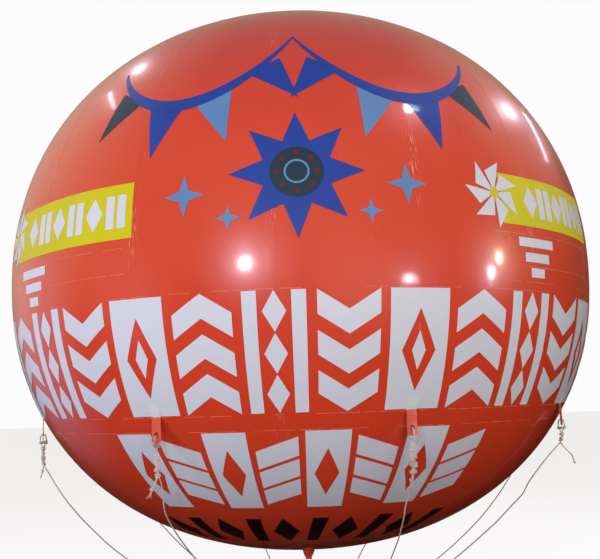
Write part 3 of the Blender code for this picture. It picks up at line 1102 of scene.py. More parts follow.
# %% Setting-out lines
line_luck = random.Random(7)
LINE_HEIGHTS = (-0.2300, -0.8140, -0.8900)
SHORT_LINES = ((-0.110, -58, -18), (0.018, -58, -26), (0.060, 36, 72), (-0.105, 44, 74), (-0.185, 40, 74))
dashes = []


def dash_line(height, start, stop, share):
    """Dashes along one level line between two azimuths in degrees."""
    up = arc_at_height(height)
    place = math.radians(start) * RADIUS
    end = math.radians(stop) * RADIUS
    while place < end:
        long = line_luck.uniform(0.03, 0.14)
        if line_luck.random() < share:
            thin = line_luck.uniform(0.0007, 0.0014)
            parts = max(1, round(long / 0.05))
            for part in range(parts):
                a = place + long * part / parts
                b = place + long * (part + 1) / parts
                dashes.append([(a, up + thin), (a, up - thin), (b, up - thin), (b, up + thin)])
        place += long + line_luck.uniform(0.004, 0.03)


for height in LINE_HEIGHTS:
    dash_line(height, -180, 180, 0.72)
for height, start, stop in SHORT_LINES:
    dash_line(height, start, stop, 0.8)
    dash_line(height, start + 180, stop + 180, 0.8)
line_film = cut_film("setting_out_lines", dashes, 0)
put_up(line_film, RADIUS, 0.0, -0.35)
print("dashes:", len(dashes))

# %% [markdown]
# A tether tab is a strip of coated webbing. Its root is welded to the skin above the tab line, under the foot
# of the white row, and the rest hangs plumb with an eyelet near its end. It is cut out as a flat curve with a
# round hole, made a mesh, and bisected so that it can bend and curl.

# %% One tether tab
TAB_WIDTH = 0.055
TAB_THICKNESS = 0.003
TAB_FLAP = 0.125
TAB_WELD = 0.030
TAB_CORNER = 0.010
EYELET_DROP = 0.088
TAB_SEAT = TAB_PLANE - TAB_THICKNESS / 2


def flat_outline(name, outlines):
    """A flat curve filled between its outlines, made a mesh."""
    drawing = bpy.data.curves.new(name, "CURVE")
    drawing.dimensions = "2D"
    drawing.fill_mode = "BOTH"
    for outline in outlines:
        edge = drawing.splines.new("POLY")
        edge.points.add(len(outline) - 1)
        edge.use_cyclic_u = True
        for knot, (x, y) in zip(edge.points, outline):
            knot.co = (x, y, 0.0, 1.0)
    made = bpy.data.objects.new(name, drawing)
    bpy.context.collection.objects.link(made)
    pick(made)
    bpy.ops.object.convert(target="MESH")
    return bpy.context.object


half = TAB_WIDTH / 2
corner_left, corner_right = [], []
for k in range(7):
    turn = math.radians(15 * k)
    across = half - TAB_CORNER + TAB_CORNER * math.sin(turn)
    down = -TAB_FLAP + TAB_CORNER - TAB_CORNER * math.cos(turn)
    corner_right.append((across, down))
    corner_left.append((-across, down))
edge = [(half, TAB_WELD), (-half, TAB_WELD)] + corner_left[::-1] + corner_right
hole = []
for k in range(24):
    turn = 2 * math.pi * k / 24
    hole.append((0.0100 * math.cos(turn), -EYELET_DROP + 0.0100 * math.sin(turn)))
first_tab = flat_outline("tab_strip_1", [edge, hole])
bpy.ops.object.mode_set(mode="EDIT")
cuts = [((0.0, y / 1000, 0.0), (0.0, 1.0, 0.0)) for y in range(-117, 28, 8)] + [((0.0, 0.0, 0.0), (0.0, 1.0, 0.0))]
cuts += [((x / 1000, 0.0, 0.0), (1.0, 0.0, 0.0)) for x in (-21, -14, -7, 0, 7, 14, 21)]
for place, way in cuts:
    bpy.ops.mesh.select_all(action="SELECT")
    bpy.ops.mesh.bisect(plane_co=place, plane_no=way)
bpy.ops.object.mode_set(mode="OBJECT")
print("the flat tab has", len(first_tab.data.polygons), "faces")


# %% Bending and copying the tab
tab_arc = arc_at_height(TAB_LINE_Z)


def tab_face(across, along):
    """Where a point of the flat tab goes: on the skin above the tab line, plumb and a little curled below."""
    if along > 0:
        x, y, z = on_skin(0.0, tab_arc + along, 0.0018)
        return Vector((across, float(y), float(z)))
    down = -along
    free = min(1.0, down / 0.03)
    cup = 0.0011 * (across / half) ** 2 * free
    curl = 0.0016 * max(0.0, (down - 0.098) / 0.027) ** 2
    wave = 0.0005 * math.sin(down * 75.0) * free
    return Vector((across, -(TAB_PLANE + cup + curl + wave - 0.0004 * free), TAB_LINE_Z + along))


for vert in first_tab.data.vertices:
    vert.co = tab_face(vert.co.x, vert.co.y)
first_tab.data.update()
if first_tab.data.polygons[0].normal.y > 0:
    first_tab.data.flip_normals()
body = first_tab.modifiers.new("Strip", "SOLIDIFY")
body.thickness = 0.0026
body.offset = 0.0
apply_all(first_tab)
smooth_by(first_tab, 35)

tabs = []
for i in range(TABS):
    azimuth = FIRST_TAB + i * TAB_STEP
    tabs.append(turn_about_axis(first_tab, f"tab_strip_{i + 1}" if i else "tab_strip_first", azimuth))
bpy.data.objects.remove(first_tab)
tabs[0].name = "tab_strip_1"
for i, tab in enumerate(tabs):
    hand_over(tab, [f"tether_tab_{i + 1}"])
print("tabs:", len(tabs))

# %% [markdown]
# Over each tab's root a maker welds a patch of pale film, so that the pull of the cord is spread over the skin.
# It is a small sheet as wide as the tab, laid over the root and then down on the print above it.

# %% The patches over the tabs' roots
PATCH_RISE = 0.066
patches = []
for i in range(TABS):
    patch = film_strip("root_patch", TAB_WIDTH, 0.0015, PATCH_RISE, 12)
    for vert in patch.data.vertices:
        past_root = min(1.0, max(0.0, (vert.co.y - TAB_WELD) / 0.010))
        vert.co.z = 0.0032 - 0.0016 * past_root
        vert.co.y += tab_arc
    patches.append(lay_on_skin(patch, radius_at_arc(tab_arc), FIRST_TAB + i * TAB_STEP))
root_patches = raise_film(join_as("root_patches", patches), FILM)
hand_over(root_patches)
print("the patches have", len(root_patches.data.polygons), "faces")

# %% [markdown]
# The eyelet is pressed brass with a nickel finish: a barrel through the tab, rolled over on both faces. Its
# section is drawn as a closed outline and spun, then the piece is stood on edge at the tab.

# %% The eyelets
BARREL = 0.0097
BORE = 0.0090
FLANGE = 0.0125
eyelet_outline = [
    (BORE, -0.0019),
    (BORE, 0.0019),
    (0.0094, 0.0025),
    (0.0101, 0.0028),
    (0.0111, 0.0028),
    (0.0119, 0.0025),
    (FLANGE, 0.0019),
    (0.0123, 0.0015),
    (BARREL, 0.0015),
    (BARREL, -0.0015),
    (0.0123, -0.0015),
    (FLANGE, -0.0019),
    (0.0119, -0.0025),
    (0.0111, -0.0028),
    (0.0101, -0.0028),
    (0.0094, -0.0025),
]
first_eyelet = spin_outline("eyelet_shape", eyelet_outline, True, 48)
first_eyelet.data.transform(Matrix.Rotation(math.pi / 2, 4, "X"))
first_eyelet.data.transform(Matrix.Translation((0.0, -TAB_PLANE, EYELET_Z)))
smooth_by(first_eyelet, 50)
for i in range(TABS):
    eyelet = turn_about_axis(first_eyelet, f"rolled_eyelet_{i + 1}", FIRST_TAB + i * TAB_STEP)
    hand_over(eyelet, [f"tab_eyelet_{i + 1}"])
bpy.data.objects.remove(first_eyelet)
print("eyelets:", TABS)

# %% [markdown]
# Under the base cap hangs the filling sleeve, a tube of the same film. After filling it is bunched and
# tied, so it falls in pleats that are deepest at the tie. It is spun as a turned piece, and then its points
# are moved in and out round it, more where it is tight.

# %% The filling sleeve
SLEEVE_PLEATS = 11
sleeve_top = float(on_skin(0.0, arc_at_radius(SLEEVE_RADIUS, False), 0.0)[2]) - 0.0003
sleeve_outline = [
    (0.0340, -0.0005),
    (0.0750, -0.0003),
    (0.0752, -0.0012),
    (0.0740, -0.0020),
    (0.0440, -0.0022),
    (0.0405, -0.0045),
    (0.0398, -0.0120),
    (0.0394, -0.0200),
    (0.0378, -0.0300),
    (0.0345, -0.0420),
    (0.0300, -0.0540),
    (0.0240, -0.0650),
    (0.0180, -0.0740),
    (0.0152, -0.0790),
    (0.0148, -0.0860),
    (0.0152, -0.0920),
    (0.0185, -0.0980),
    (0.0235, -0.1080),
    (0.0275, -0.1200),
    (0.0305, -0.1330),
    (0.0325, -0.1450),
    (0.0332, -0.1510),
    (0.0318, -0.1512),
    (0.0290, -0.1420),
    (0.0240, -0.1260),
    (0.0150, -0.1080),
    (0.0040, -0.0980),
    (0.0000, -0.0970),
]
sleeve_outline = [(out, sleeve_top + down) for out, down in sleeve_outline]
sleeve = spin_outline("sleeve_film", sleeve_outline, False, 132)
for vert in sleeve.data.vertices:
    out = math.hypot(vert.co.x, vert.co.y)
    down = sleeve_top - vert.co.z
    if out < 0.001 or out > 0.043:
        continue
    angle = math.atan2(vert.co.y, vert.co.x)
    depth = 0.0030 * min(1.0, max(0.0, (down - 0.006) / 0.06))
    if down > 0.092:
        depth = 0.0030 + 0.0022 * min(1.0, (down - 0.092) / 0.05)
    pleat = math.sin(SLEEVE_PLEATS * angle + 9.0 * down) + 0.35 * math.sin(5 * angle + 40.0 * down)
    vert.co.x *= 1 + depth * pleat / out
    vert.co.y *= 1 + depth * pleat / out
    vert.co.z += 0.0022 * math.sin(3 * angle + 1.0) * max(0.0, (down - 0.13) / 0.02)
sleeve.data.update()
smooth_by(sleeve, 60)
hand_over(sleeve, ["filling_sleeve"])
print("the sleeve is", round(sleeve.dimensions.z * 1000), "mm long")

# %% [markdown]
# A thin cord is wound round the sleeve's neck and tied. The solid model has it as one ring, and here it
# is the real winding, a coil of three turns with its two ends tucked down.

# %% The sleeve's tie
tie_line = []
for k in range(140):
    share = k / 139
    turn = 2 * math.pi * 3.3 * share
    out = 0.0192 + 0.0006 * math.sin(5 * turn)
    height = sleeve_top - 0.0795 - 0.0112 * min(1.0, max(0.0, (share - 0.04) / 0.9))
    tie_line.append(Vector((out * math.cos(turn), out * math.sin(turn), height)))
last = tie_line[-1]
sweep = Vector((-last.y, last.x, 0.0)).normalized()
for k in range(1, 16):
    tie_line.append(last + sweep * 0.0022 * k * (1 - k / 40) + Vector((0.0, 0.0, -0.0026 * k * k / 15)))
tie = round_tube("sleeve_winding", tie_line, 0.0019, 3)
hand_over(tie, ["sleeve_tie"])
print("the tie has", len(tie.data.polygons), "faces")

# %% [markdown]
# The tether ring is bent from 8 mm zinc-plated rod and welded shut. Its section is a circle stood on edge and
# spun about the axis, and the weld is a short stretch that is pushed out.

# %% The tether ring
rod_outline = []
for k in range(20):
    turn = 2 * math.pi * k / 20
    rod_outline.append((RING_RADIUS + RING_ROD_RADIUS * math.cos(turn), RING_Z + RING_ROD_RADIUS * math.sin(turn)))
tether_ring = spin_outline("welded_ring", rod_outline, True, 96)
for vert in tether_ring.data.vertices:
    angle = math.atan2(vert.co.x, -vert.co.y)
    bead = math.exp(-(((angle - math.radians(90.0)) * RING_RADIUS / 0.0022) ** 2))
    rod_middle = Vector((vert.co.x, vert.co.y, 0.0)).normalized() * RING_RADIUS + Vector((0.0, 0.0, RING_Z))
    vert.co += (vert.co - rod_middle).normalized() * 0.0006 * bead
tether_ring.data.update()
smooth_by(tether_ring, 60)
hand_over(tether_ring, ["tether_ring"])
print("the ring is", round(tether_ring.dimensions.x * 1000), "mm across")

# %% [markdown]
# Now the finishes. A material is a small tree of nodes, and one function adds a node with its settings, its
# plain values and its links. Colours are written as the hex numbers that a paint program shows, and one
# function turns them into the linear numbers that Blender works with.


# %% Helpers for finishes
def linear(code):
    """A hex colour as linear red, green, blue and alpha."""
    parts = [int(code[i : i + 2], 16) / 255 for i in (1, 3, 5)]
    return (*[c / 12.92 if c <= 0.04045 else ((c + 0.055) / 1.055) ** 2.4 for c in parts], 1.0)


def add_node(tree, kind, inputs=None, **settings):
    """A node with its settings. An input is a plain value or another node's output to link."""
    node = tree.nodes.new(kind)
    for name, value in settings.items():
        setattr(node, name, value)
    for name, value in (inputs or {}).items():
        if isinstance(value, bpy.types.NodeSocket):
            tree.links.new(value, node.inputs[name])
        else:
            node.inputs[name].default_value = value
    return node


def new_finish(name, **sockets):
    """A material with a Principled shader whose plain sockets are set."""
    finish = bpy.data.materials.new(name)
    finish.use_nodes = True
    shader = finish.node_tree.nodes["Principled BSDF"]
    for socket, value in sockets.items():
        shader.inputs[socket.replace("_", " ")].default_value = value
    return finish, finish.node_tree, shader


def wear(*pieces, finish):
    """Puts one finish on the pieces."""
    for piece in pieces:
        piece.data.materials.clear()
        piece.data.materials.append(finish)


print("linear red of the film:", [round(c, 3) for c in linear("#E8452A")[:3]])

# %% [markdown]
# The envelope is calendered PVC film, plasticised and glossy. It comes off polished rollers, so it has a clear
# wet-looking surface over a body colour that shifts a little from sheet to sheet. The welds pull the film
# into fine puckers on both sides of each seam. Pale flecks by the seams, most in a band above the widest circle, are
# painted highlights of lamps caught by the puckers. The gore's own map says how far a point is from the seam, and the
# puckers are noise stretched across the weld.

# %% Calendered PVC film for the gores
film, tree, shader = new_finish(
    "calendered_pvc_film", Coat_Weight=0.6, Coat_Roughness=0.10, Coat_IOR=1.5, IOR=1.52
)
place = add_node(tree, "ShaderNodeTexCoord")
broad = add_node(tree, "ShaderNodeTexNoise", {"Vector": place.outputs["Object"], "Scale": 1.3, "Detail": 3.0})
body = add_node(
    tree,
    "ShaderNodeMix",
    {"Factor": broad.outputs["Fac"], 6: linear("#DA3F21"), 7: linear("#E5492C")},
    data_type="RGBA",
)
map_parts = add_node(tree, "ShaderNodeSeparateXYZ", {"Vector": place.outputs["UV"]})
from_middle = add_node(tree, "ShaderNodeMath", {0: map_parts.outputs["X"], 1: 0.5}, operation="SUBTRACT")
seam_side = add_node(tree, "ShaderNodeMath", {0: from_middle.outputs[0]}, operation="ABSOLUTE")
near_seam = add_node(
    tree,
    "ShaderNodeMapRange",
    {"Value": seam_side.outputs[0], "From Min": 0.43, "From Max": 0.497},
    interpolation_type="SMOOTHSTEP",
)
stretched = add_node(tree, "ShaderNodeMapping", {"Vector": place.outputs["UV"], "Scale": (14.0, 150.0, 1.0)})
puckers = add_node(tree, "ShaderNodeTexNoise", {"Vector": stretched.outputs["Vector"], "Scale": 1.0, "Detail": 2.0})
patchy = add_node(tree, "ShaderNodeTexNoise", {"Vector": place.outputs["Object"], "Scale": 2.4, "Detail": 1.0})
patches = add_node(
    tree, "ShaderNodeMapRange", {"Value": patchy.outputs["Fac"], "From Min": 0.46, "From Max": 0.62}
)
where = add_node(
    tree, "ShaderNodeMath", {0: near_seam.outputs["Result"], 1: patches.outputs["Result"]}, operation="MULTIPLY"
)
pucker_height = add_node(tree, "ShaderNodeMath", {0: puckers.outputs["Fac"], 1: where.outputs[0]}, operation="MULTIPLY")
# Painted highlights: pale flecks along the seams, where the puckers would catch the lamps.
fleck_map = add_node(tree, "ShaderNodeMapping", {"Vector": place.outputs["UV"], "Scale": (115.0, 60.0, 1.0)})
fleck_noise = add_node(tree, "ShaderNodeTexNoise", {"Vector": fleck_map.outputs["Vector"], "Scale": 1.0, "Detail": 1.0})
fleck_edge = add_node(
    tree, "ShaderNodeMapRange", {"Value": fleck_noise.outputs["Fac"], "From Min": 0.58, "From Max": 0.68}
)
fleck_highlights = add_node(
    tree, "ShaderNodeMath", {0: fleck_edge.outputs["Result"], 1: where.outputs[0]}, operation="MULTIPLY"
)
# The painted highlight flecks are strongest in a band above the widest circle and fade away from it.
place_parts = add_node(tree, "ShaderNodeSeparateXYZ", {"Vector": place.outputs["Object"]})
from_highlight_band = add_node(tree, "ShaderNodeMath", {0: place_parts.outputs["Z"], 1: 0.22}, operation="SUBTRACT")
highlight_band_side = add_node(tree, "ShaderNodeMath", {0: from_highlight_band.outputs[0]}, operation="ABSOLUTE")
highlight_band = add_node(
    tree,
    "ShaderNodeMapRange",
    {"Value": highlight_band_side.outputs[0], "From Min": 0.18, "From Max": 0.36, "To Min": 0.95, "To Max": 0.22},
)
banded_fleck_highlights = add_node(tree, "ShaderNodeMath", {0: fleck_highlights.outputs[0], 1: highlight_band.outputs["Result"]}, operation="MULTIPLY")
painted_fleck_highlights = add_node(
    tree,
    "ShaderNodeMix",
    {"Factor": banded_fleck_highlights.outputs[0], 6: body.outputs[2], 7: linear("#F6D5CC")},
    data_type="RGBA",
)
tree.links.new(painted_fleck_highlights.outputs[2], shader.inputs["Base Color"])
smudges = add_node(tree, "ShaderNodeTexNoise", {"Vector": place.outputs["Object"], "Scale": 5.0, "Detail": 4.0})
rough = add_node(
    tree, "ShaderNodeMapRange", {"Value": smudges.outputs["Fac"], "To Min": 0.24, "To Max": 0.34}
)
tree.links.new(rough.outputs["Result"], shader.inputs["Roughness"])
slack = add_node(tree, "ShaderNodeTexNoise", {"Vector": place.outputs["Object"], "Scale": 2.2, "Detail": 1.0})
slack_bump = add_node(
    tree, "ShaderNodeBump", {"Height": slack.outputs["Fac"], "Strength": 0.35, "Distance": 0.008}
)
pucker_bump = add_node(
    tree,
    "ShaderNodeBump",
    {"Height": pucker_height.outputs[0], "Strength": 0.35, "Distance": 0.003, "Normal": slack_bump.outputs["Normal"]},
)
tree.links.new(pucker_bump.outputs["Normal"], shader.inputs["Normal"])
tree.links.new(pucker_bump.outputs["Normal"], shader.inputs["Coat Normal"])
wear(*gores, seam_welds, finish=film)
print("the gores' finish has", len(tree.nodes), "nodes")

# %% [markdown]
# The caps are the same film, pressed on by a heated plate with a fine waffle on it. That leaves rows of
# small dents, drawn here at 6 mm so that they show, and pale spots where the film was stretched.

# %% Welded film
welded, tree, shader = new_finish(
    "hot_bar_welded_pvc", Coat_Weight=0.6, Coat_Roughness=0.10, IOR=1.52, Roughness=0.30
)
place = add_node(tree, "ShaderNodeTexCoord")
spots = add_node(tree, "ShaderNodeTexNoise", {"Vector": place.outputs["Object"], "Scale": 60.0, "Detail": 2.0})
stretched = add_node(tree, "ShaderNodeTexNoise", {"Vector": place.outputs["Object"], "Scale": 2.0, "Detail": 2.0})
reach = add_node(
    tree, "ShaderNodeMapRange", {"Value": stretched.outputs["Fac"], "From Min": 0.5, "From Max": 0.68, "To Max": 0.6}
)
spot_edge = add_node(
    tree, "ShaderNodeMapRange", {"Value": spots.outputs["Fac"], "From Min": 0.56, "From Max": 0.66}
)
pale = add_node(tree, "ShaderNodeMath", {0: spot_edge.outputs[0], 1: reach.outputs[0]}, operation="MULTIPLY")
tone = add_node(
    tree,
    "ShaderNodeMix",
    {"Factor": pale.outputs[0], 6: linear("#DC4124"), 7: linear("#F2B0A0")},
    data_type="RGBA",
)
tree.links.new(tone.outputs[2], shader.inputs["Base Color"])
waffle = add_node(tree, "ShaderNodeTexVoronoi", {"Vector": place.outputs["Object"], "Scale": 160.0})
dents = add_node(tree, "ShaderNodeBump", {"Height": waffle.outputs["Distance"], "Strength": 0.25, "Distance": 0.0006})
tree.links.new(dents.outputs["Normal"], shader.inputs["Normal"])
wear(crown_cap, base_cap, finish=welded)
print("the welds' finish has", len(tree.nodes), "nodes")

# %% [markdown]
# The coloured films are screen-printing ink on vinyl: opaque, satin, laid on by squeegee. Each has a slight
# unevenness in tone over a hand's width and a fine texture from the mesh. One function makes
# them all, because only the colour and the gloss differ.


# %% Printed ink
def printed_ink(name, face, shade, roughness=0.36, coat=0.35):
    """Ink on vinyl, with its tone shifting between face and shade."""
    finish, tree, shader = new_finish(name, Coat_Weight=coat, Coat_Roughness=0.10, IOR=1.5)
    place = add_node(tree, "ShaderNodeTexCoord")
    drift = add_node(tree, "ShaderNodeTexNoise", {"Vector": place.outputs["Object"], "Scale": 6.0, "Detail": 4.0})
    tone = add_node(
        tree,
        "ShaderNodeMix",
        {"Factor": drift.outputs["Fac"], 6: linear(face), 7: linear(shade)},
        data_type="RGBA",
    )
    tree.links.new(tone.outputs[2], shader.inputs["Base Color"])
    rough = add_node(
        tree,
        "ShaderNodeMapRange",
        {"Value": drift.outputs["Fac"], "To Min": roughness - 0.05, "To Max": roughness + 0.07},
    )
    tree.links.new(rough.outputs["Result"], shader.inputs["Roughness"])
    mesh_print = add_node(tree, "ShaderNodeTexNoise", {"Vector": place.outputs["Object"], "Scale": 240.0})
    texture = add_node(
        tree, "ShaderNodeBump", {"Height": mesh_print.outputs["Fac"], "Strength": 0.12, "Distance": 0.0004}
    )
    tree.links.new(texture.outputs["Normal"], shader.inputs["Normal"])
    return finish


white_ink = printed_ink("white_vinyl_ink", "#E2E6F4", "#DADEEE")
yellow_ink = printed_ink("yellow_vinyl_ink", "#DED600", "#D2CA00", 0.5, 0.12)
blue_ink = printed_ink("blue_vinyl_ink", "#1E46B0", "#1A3C98", 0.5, 0.15)
pale_blue_ink = printed_ink("pale_blue_vinyl_ink", "#6896CE", "#5A86C0", 0.45, 0.2)
teal_ink = printed_ink("dark_teal_vinyl_ink", "#0F3442", "#153452", 0.5, 0.15)
dark_red_ink = printed_ink("dark_red_vinyl_ink", "#6E1C20", "#5C1418", 0.5, 0.15)
black_ink = printed_ink("black_vinyl_ink", "#1E0605", "#180405", 0.5, 0.12)
patch_film = printed_ink("pale_patch_film", "#E2ECF0", "#DAE5EA", 0.45, 0.2)
line_ink = printed_ink("pale_line_chalk", "#E89A88", "#E08874", 0.6, 0.0)
wear(tall_film, short_film, panel_figures, wheel_film, mark_film, finish=white_ink)
wear(panel_film, hub_film, finish=yellow_ink)
wear(black_film, finish=black_ink)
wear(star_film, ribbon_film, bpy.data.objects["blue_pennants"], finish=blue_ink)
wear(little_film, hoop_film, bpy.data.objects["pale_blue_pennants"], finish=pale_blue_ink)
wear(disc_film, bpy.data.objects["dark_teal_pennants"], finish=teal_ink)
wear(dot_film, finish=dark_red_ink)
wear(root_patches, finish=patch_film)
wear(line_film, finish=line_ink)
print("inks: 9")

# %% [markdown]
# The tabs are PVC-coated polyester webbing, knife-coated over a coarse weave. The weave shows through the
# coating as a low relief, drawn at 2.5 mm a thread so that it shows. The root was printed over with the
# white row, so above the tab line the coral turns to ink with worn spots.

# %% Coated webbing
webbing, tree, shader = new_finish("pvc_coated_webbing", Coat_Weight=0.25, Coat_Roughness=0.2, IOR=1.5, Roughness=0.42)
place = add_node(tree, "ShaderNodeTexCoord")
parts = add_node(tree, "ShaderNodeSeparateXYZ", {"Vector": place.outputs["Object"]})
tone_noise = add_node(tree, "ShaderNodeTexNoise", {"Vector": place.outputs["Object"], "Scale": 40.0, "Detail": 3.0})
coral = add_node(
    tree,
    "ShaderNodeMix",
    {"Factor": tone_noise.outputs["Fac"], 6: linear("#DE5845"), 7: linear("#D24C3A")},
    data_type="RGBA",
)
ragged = add_node(tree, "ShaderNodeTexNoise", {"Vector": place.outputs["Object"], "Scale": 110.0, "Detail": 3.0})
ragged_height = add_node(
    tree, "ShaderNodeMapRange", {"Value": ragged.outputs["Fac"], "To Min": -0.010, "To Max": 0.010}
)
printed_from = add_node(
    tree, "ShaderNodeMath", {0: parts.outputs["Z"], 1: ragged_height.outputs["Result"]}, operation="ADD"
)
over = add_node(
    tree,
    "ShaderNodeMapRange",
    {"Value": printed_from.outputs[0], "From Min": TAB_LINE_Z - 0.0015, "From Max": TAB_LINE_Z + 0.0005},
)
covered = add_node(
    tree,
    "ShaderNodeMix",
    {"Factor": over.outputs["Result"], 6: coral.outputs[2], 7: linear("#DADDE6")},
    data_type="RGBA",
)
tree.links.new(covered.outputs[2], shader.inputs["Base Color"])
threads = add_node(tree, "ShaderNodeTexVoronoi", {"Vector": place.outputs["Object"], "Scale": 400.0})
relief = add_node(
    tree, "ShaderNodeBump", {"Height": threads.outputs["Distance"], "Strength": 0.3, "Distance": 0.0006}
)
tree.links.new(relief.outputs["Normal"], shader.inputs["Normal"])
wear(*tabs, finish=webbing)
print("the webbing's finish has", len(tree.nodes), "nodes")

# %% [markdown]
# The cord is spun polyester, laid from three strands. It is off-white and matte with a soft edge from its
# fibres. It gets grey where it is handled and tied. Lower down it is painted darker, as painted shade for the line
# hanging under the body.

# %% Laid polyester cord
cord_finish, tree, shader = new_finish("laid_polyester_cord", Roughness=0.85, Sheen_Weight=0.25, Sheen_Roughness=0.5)
place = add_node(tree, "ShaderNodeTexCoord")
handled = add_node(tree, "ShaderNodeTexNoise", {"Vector": place.outputs["Object"], "Scale": 9.0, "Detail": 5.0})
grey_edge = add_node(
    tree, "ShaderNodeMapRange", {"Value": handled.outputs["Fac"], "From Min": 0.42, "From Max": 0.72}
)
thread_tone = add_node(
    tree,
    "ShaderNodeMix",
    {"Factor": grey_edge.outputs["Result"], 6: linear("#DAD3C8"), 7: linear("#978B7F")},
    data_type="RGBA",
)
# Painted shade: the cord's colour is darker from 1.08 m to 1.36 m below the widest circle, where it hangs under the
# body.
place_parts = add_node(tree, "ShaderNodeSeparateXYZ", {"Vector": place.outputs["Object"]})
painted_shade_below = add_node(
    tree,
    "ShaderNodeMapRange",
    {"Value": place_parts.outputs["Z"], "From Min": -1.08, "From Max": -1.36, "To Max": 0.75},
)
handled_grey_and_painted_shade = add_node(
    tree,
    "ShaderNodeMix",
    {"Factor": painted_shade_below.outputs["Result"], 6: thread_tone.outputs[2], 7: linear("#8D8177")},
    data_type="RGBA",
)
tree.links.new(handled_grey_and_painted_shade.outputs[2], shader.inputs["Base Color"])
fibres = add_node(tree, "ShaderNodeTexNoise", {"Vector": place.outputs["Object"], "Scale": 1400.0, "Detail": 2.0})
fuzz = add_node(tree, "ShaderNodeBump", {"Height": fibres.outputs["Fac"], "Strength": 0.4, "Distance": 0.0003})
tree.links.new(fuzz.outputs["Normal"], shader.inputs["Normal"])
wear(*cord_pieces, *knot_pieces, *hitch_pieces, tie, finish=cord_finish)
print("the cord's finish has", len(tree.nodes), "nodes")

# %% [markdown]
# The eyelets are brass stampings with a thin nickel plate that has dulled. The ring is steel rod with a bright
# zinc plate, which has a faint crystal pattern and a greyer weld. Both are bare metals, so they are
# fully metallic and take their look from what they mirror.


# %% Plated metals
def plated_metal(name, bright, dull, roughness, grain):
    finish, tree, shader = new_finish(name, Metallic=1.0)
    place = add_node(tree, "ShaderNodeTexCoord")
    tarnish = add_node(tree, "ShaderNodeTexNoise", {"Vector": place.outputs["Object"], "Scale": grain, "Detail": 5.0})
    tone = add_node(
        tree,
        "ShaderNodeMix",
        {"Factor": tarnish.outputs["Fac"], 6: linear(bright), 7: linear(dull)},
        data_type="RGBA",
    )
    tree.links.new(tone.outputs[2], shader.inputs["Base Color"])
    rough = add_node(
        tree,
        "ShaderNodeMapRange",
        {"Value": tarnish.outputs["Fac"], "To Min": roughness - 0.08, "To Max": roughness + 0.12},
    )
    tree.links.new(rough.outputs["Result"], shader.inputs["Roughness"])
    return finish


nickel = plated_metal("dulled_nickel_on_brass", "#70675B", "#453D34", 0.36, 260.0)
zinc = plated_metal("zinc_plated_steel", "#C2C4C6", "#9A9DA0", 0.30, 180.0)
wear(*[bpy.data.objects[f"rolled_eyelet_{i + 1}"] for i in range(TABS)], finish=nickel)
wear(tether_ring, finish=zinc)
print("metals: 2")

# %% [markdown]
# The sleeve is thinner film of the same red, creased from being gathered, so it is duller and its creases
# run down it. Its colour follows the creases and is darker in their hollows, which is painted shade.

# %% Creased sleeve film
creased, tree, shader = new_finish("creased_pvc_film", Coat_Weight=0.3, Coat_Roughness=0.2, IOR=1.52)
place = add_node(tree, "ShaderNodeTexCoord")
drawn_out = add_node(tree, "ShaderNodeMapping", {"Vector": place.outputs["Object"], "Scale": (160.0, 160.0, 22.0)})
crease_relief_and_shade = add_node(tree, "ShaderNodeTexNoise", {"Vector": drawn_out.outputs["Vector"], "Scale": 1.0, "Detail": 3.0})
# Painted shade: the colour follows the crease height and is darker in the hollows. The same noise gives the creases'
# bump and roughness.
tone = add_node(
    tree,
    "ShaderNodeMix",
    {"Factor": crease_relief_and_shade.outputs["Fac"], 6: linear("#C93A22"), 7: linear("#DE4A30")},
    data_type="RGBA",
)
tree.links.new(tone.outputs[2], shader.inputs["Base Color"])
rough = add_node(tree, "ShaderNodeMapRange", {"Value": crease_relief_and_shade.outputs["Fac"], "To Min": 0.34, "To Max": 0.52})
tree.links.new(rough.outputs["Result"], shader.inputs["Roughness"])
crease_bump = add_node(tree, "ShaderNodeBump", {"Height": crease_relief_and_shade.outputs["Fac"], "Strength": 0.5, "Distance": 0.0015})
tree.links.new(crease_bump.outputs["Normal"], shader.inputs["Normal"])
wear(sleeve, finish=creased)
print("the sleeve's finish has", len(tree.nodes), "nodes")

# %% [markdown]
# The floor is a plain pale one, under the lowest point of the cords. In the picture the underside of the
# balloon is dark, so the pale floor is shown to the camera alone and throws no light back up, and a
# little glow of its own keeps it as pale as the wall behind it.

# %% The floor
FLOOR_Z = -2.35
pick(camera)
bpy.ops.mesh.primitive_plane_add(size=160.0, location=(0.0, 0.0, FLOOR_Z))
floor = bpy.context.object
floor.name = "studio_floor"
floor.visible_diffuse = False
floor.visible_glossy = False
floor_finish, tree, shader = new_finish(
    "pale_floor_paint", Roughness=0.8, Emission_Color=linear("#F3F4F6"), Emission_Strength=0.62
)
place = add_node(tree, "ShaderNodeTexCoord")
scuffs = add_node(tree, "ShaderNodeTexNoise", {"Vector": place.outputs["Object"], "Scale": 0.8, "Detail": 6.0})
tone = add_node(
    tree,
    "ShaderNodeMix",
    {"Factor": scuffs.outputs["Fac"], 6: linear("#ECEDF0"), 7: linear("#E5E6E9")},
    data_type="RGBA",
)
tree.links.new(tone.outputs[2], shader.inputs["Base Color"])
wear(floor, finish=floor_finish)
print("the floor lies at", FLOOR_Z)

# %% [markdown]
# What a glossy balloon looks like is mostly what it mirrors. Here that is a hall: dim and warm in front, bright
# windows at its left and behind, a bright patch high on the right, and dark below. The room is
# made from the direction alone: a ramp by height, and two soft patches by the angle to their middle.


# %% The room's light
def direction(azimuth, elevation):
    """A unit vector. Azimuth 0 is towards the camera's side and grows to the right."""
    a, e = math.radians(azimuth), math.radians(elevation)
    return (math.sin(a) * math.cos(e), -math.cos(a) * math.cos(e), math.sin(e))


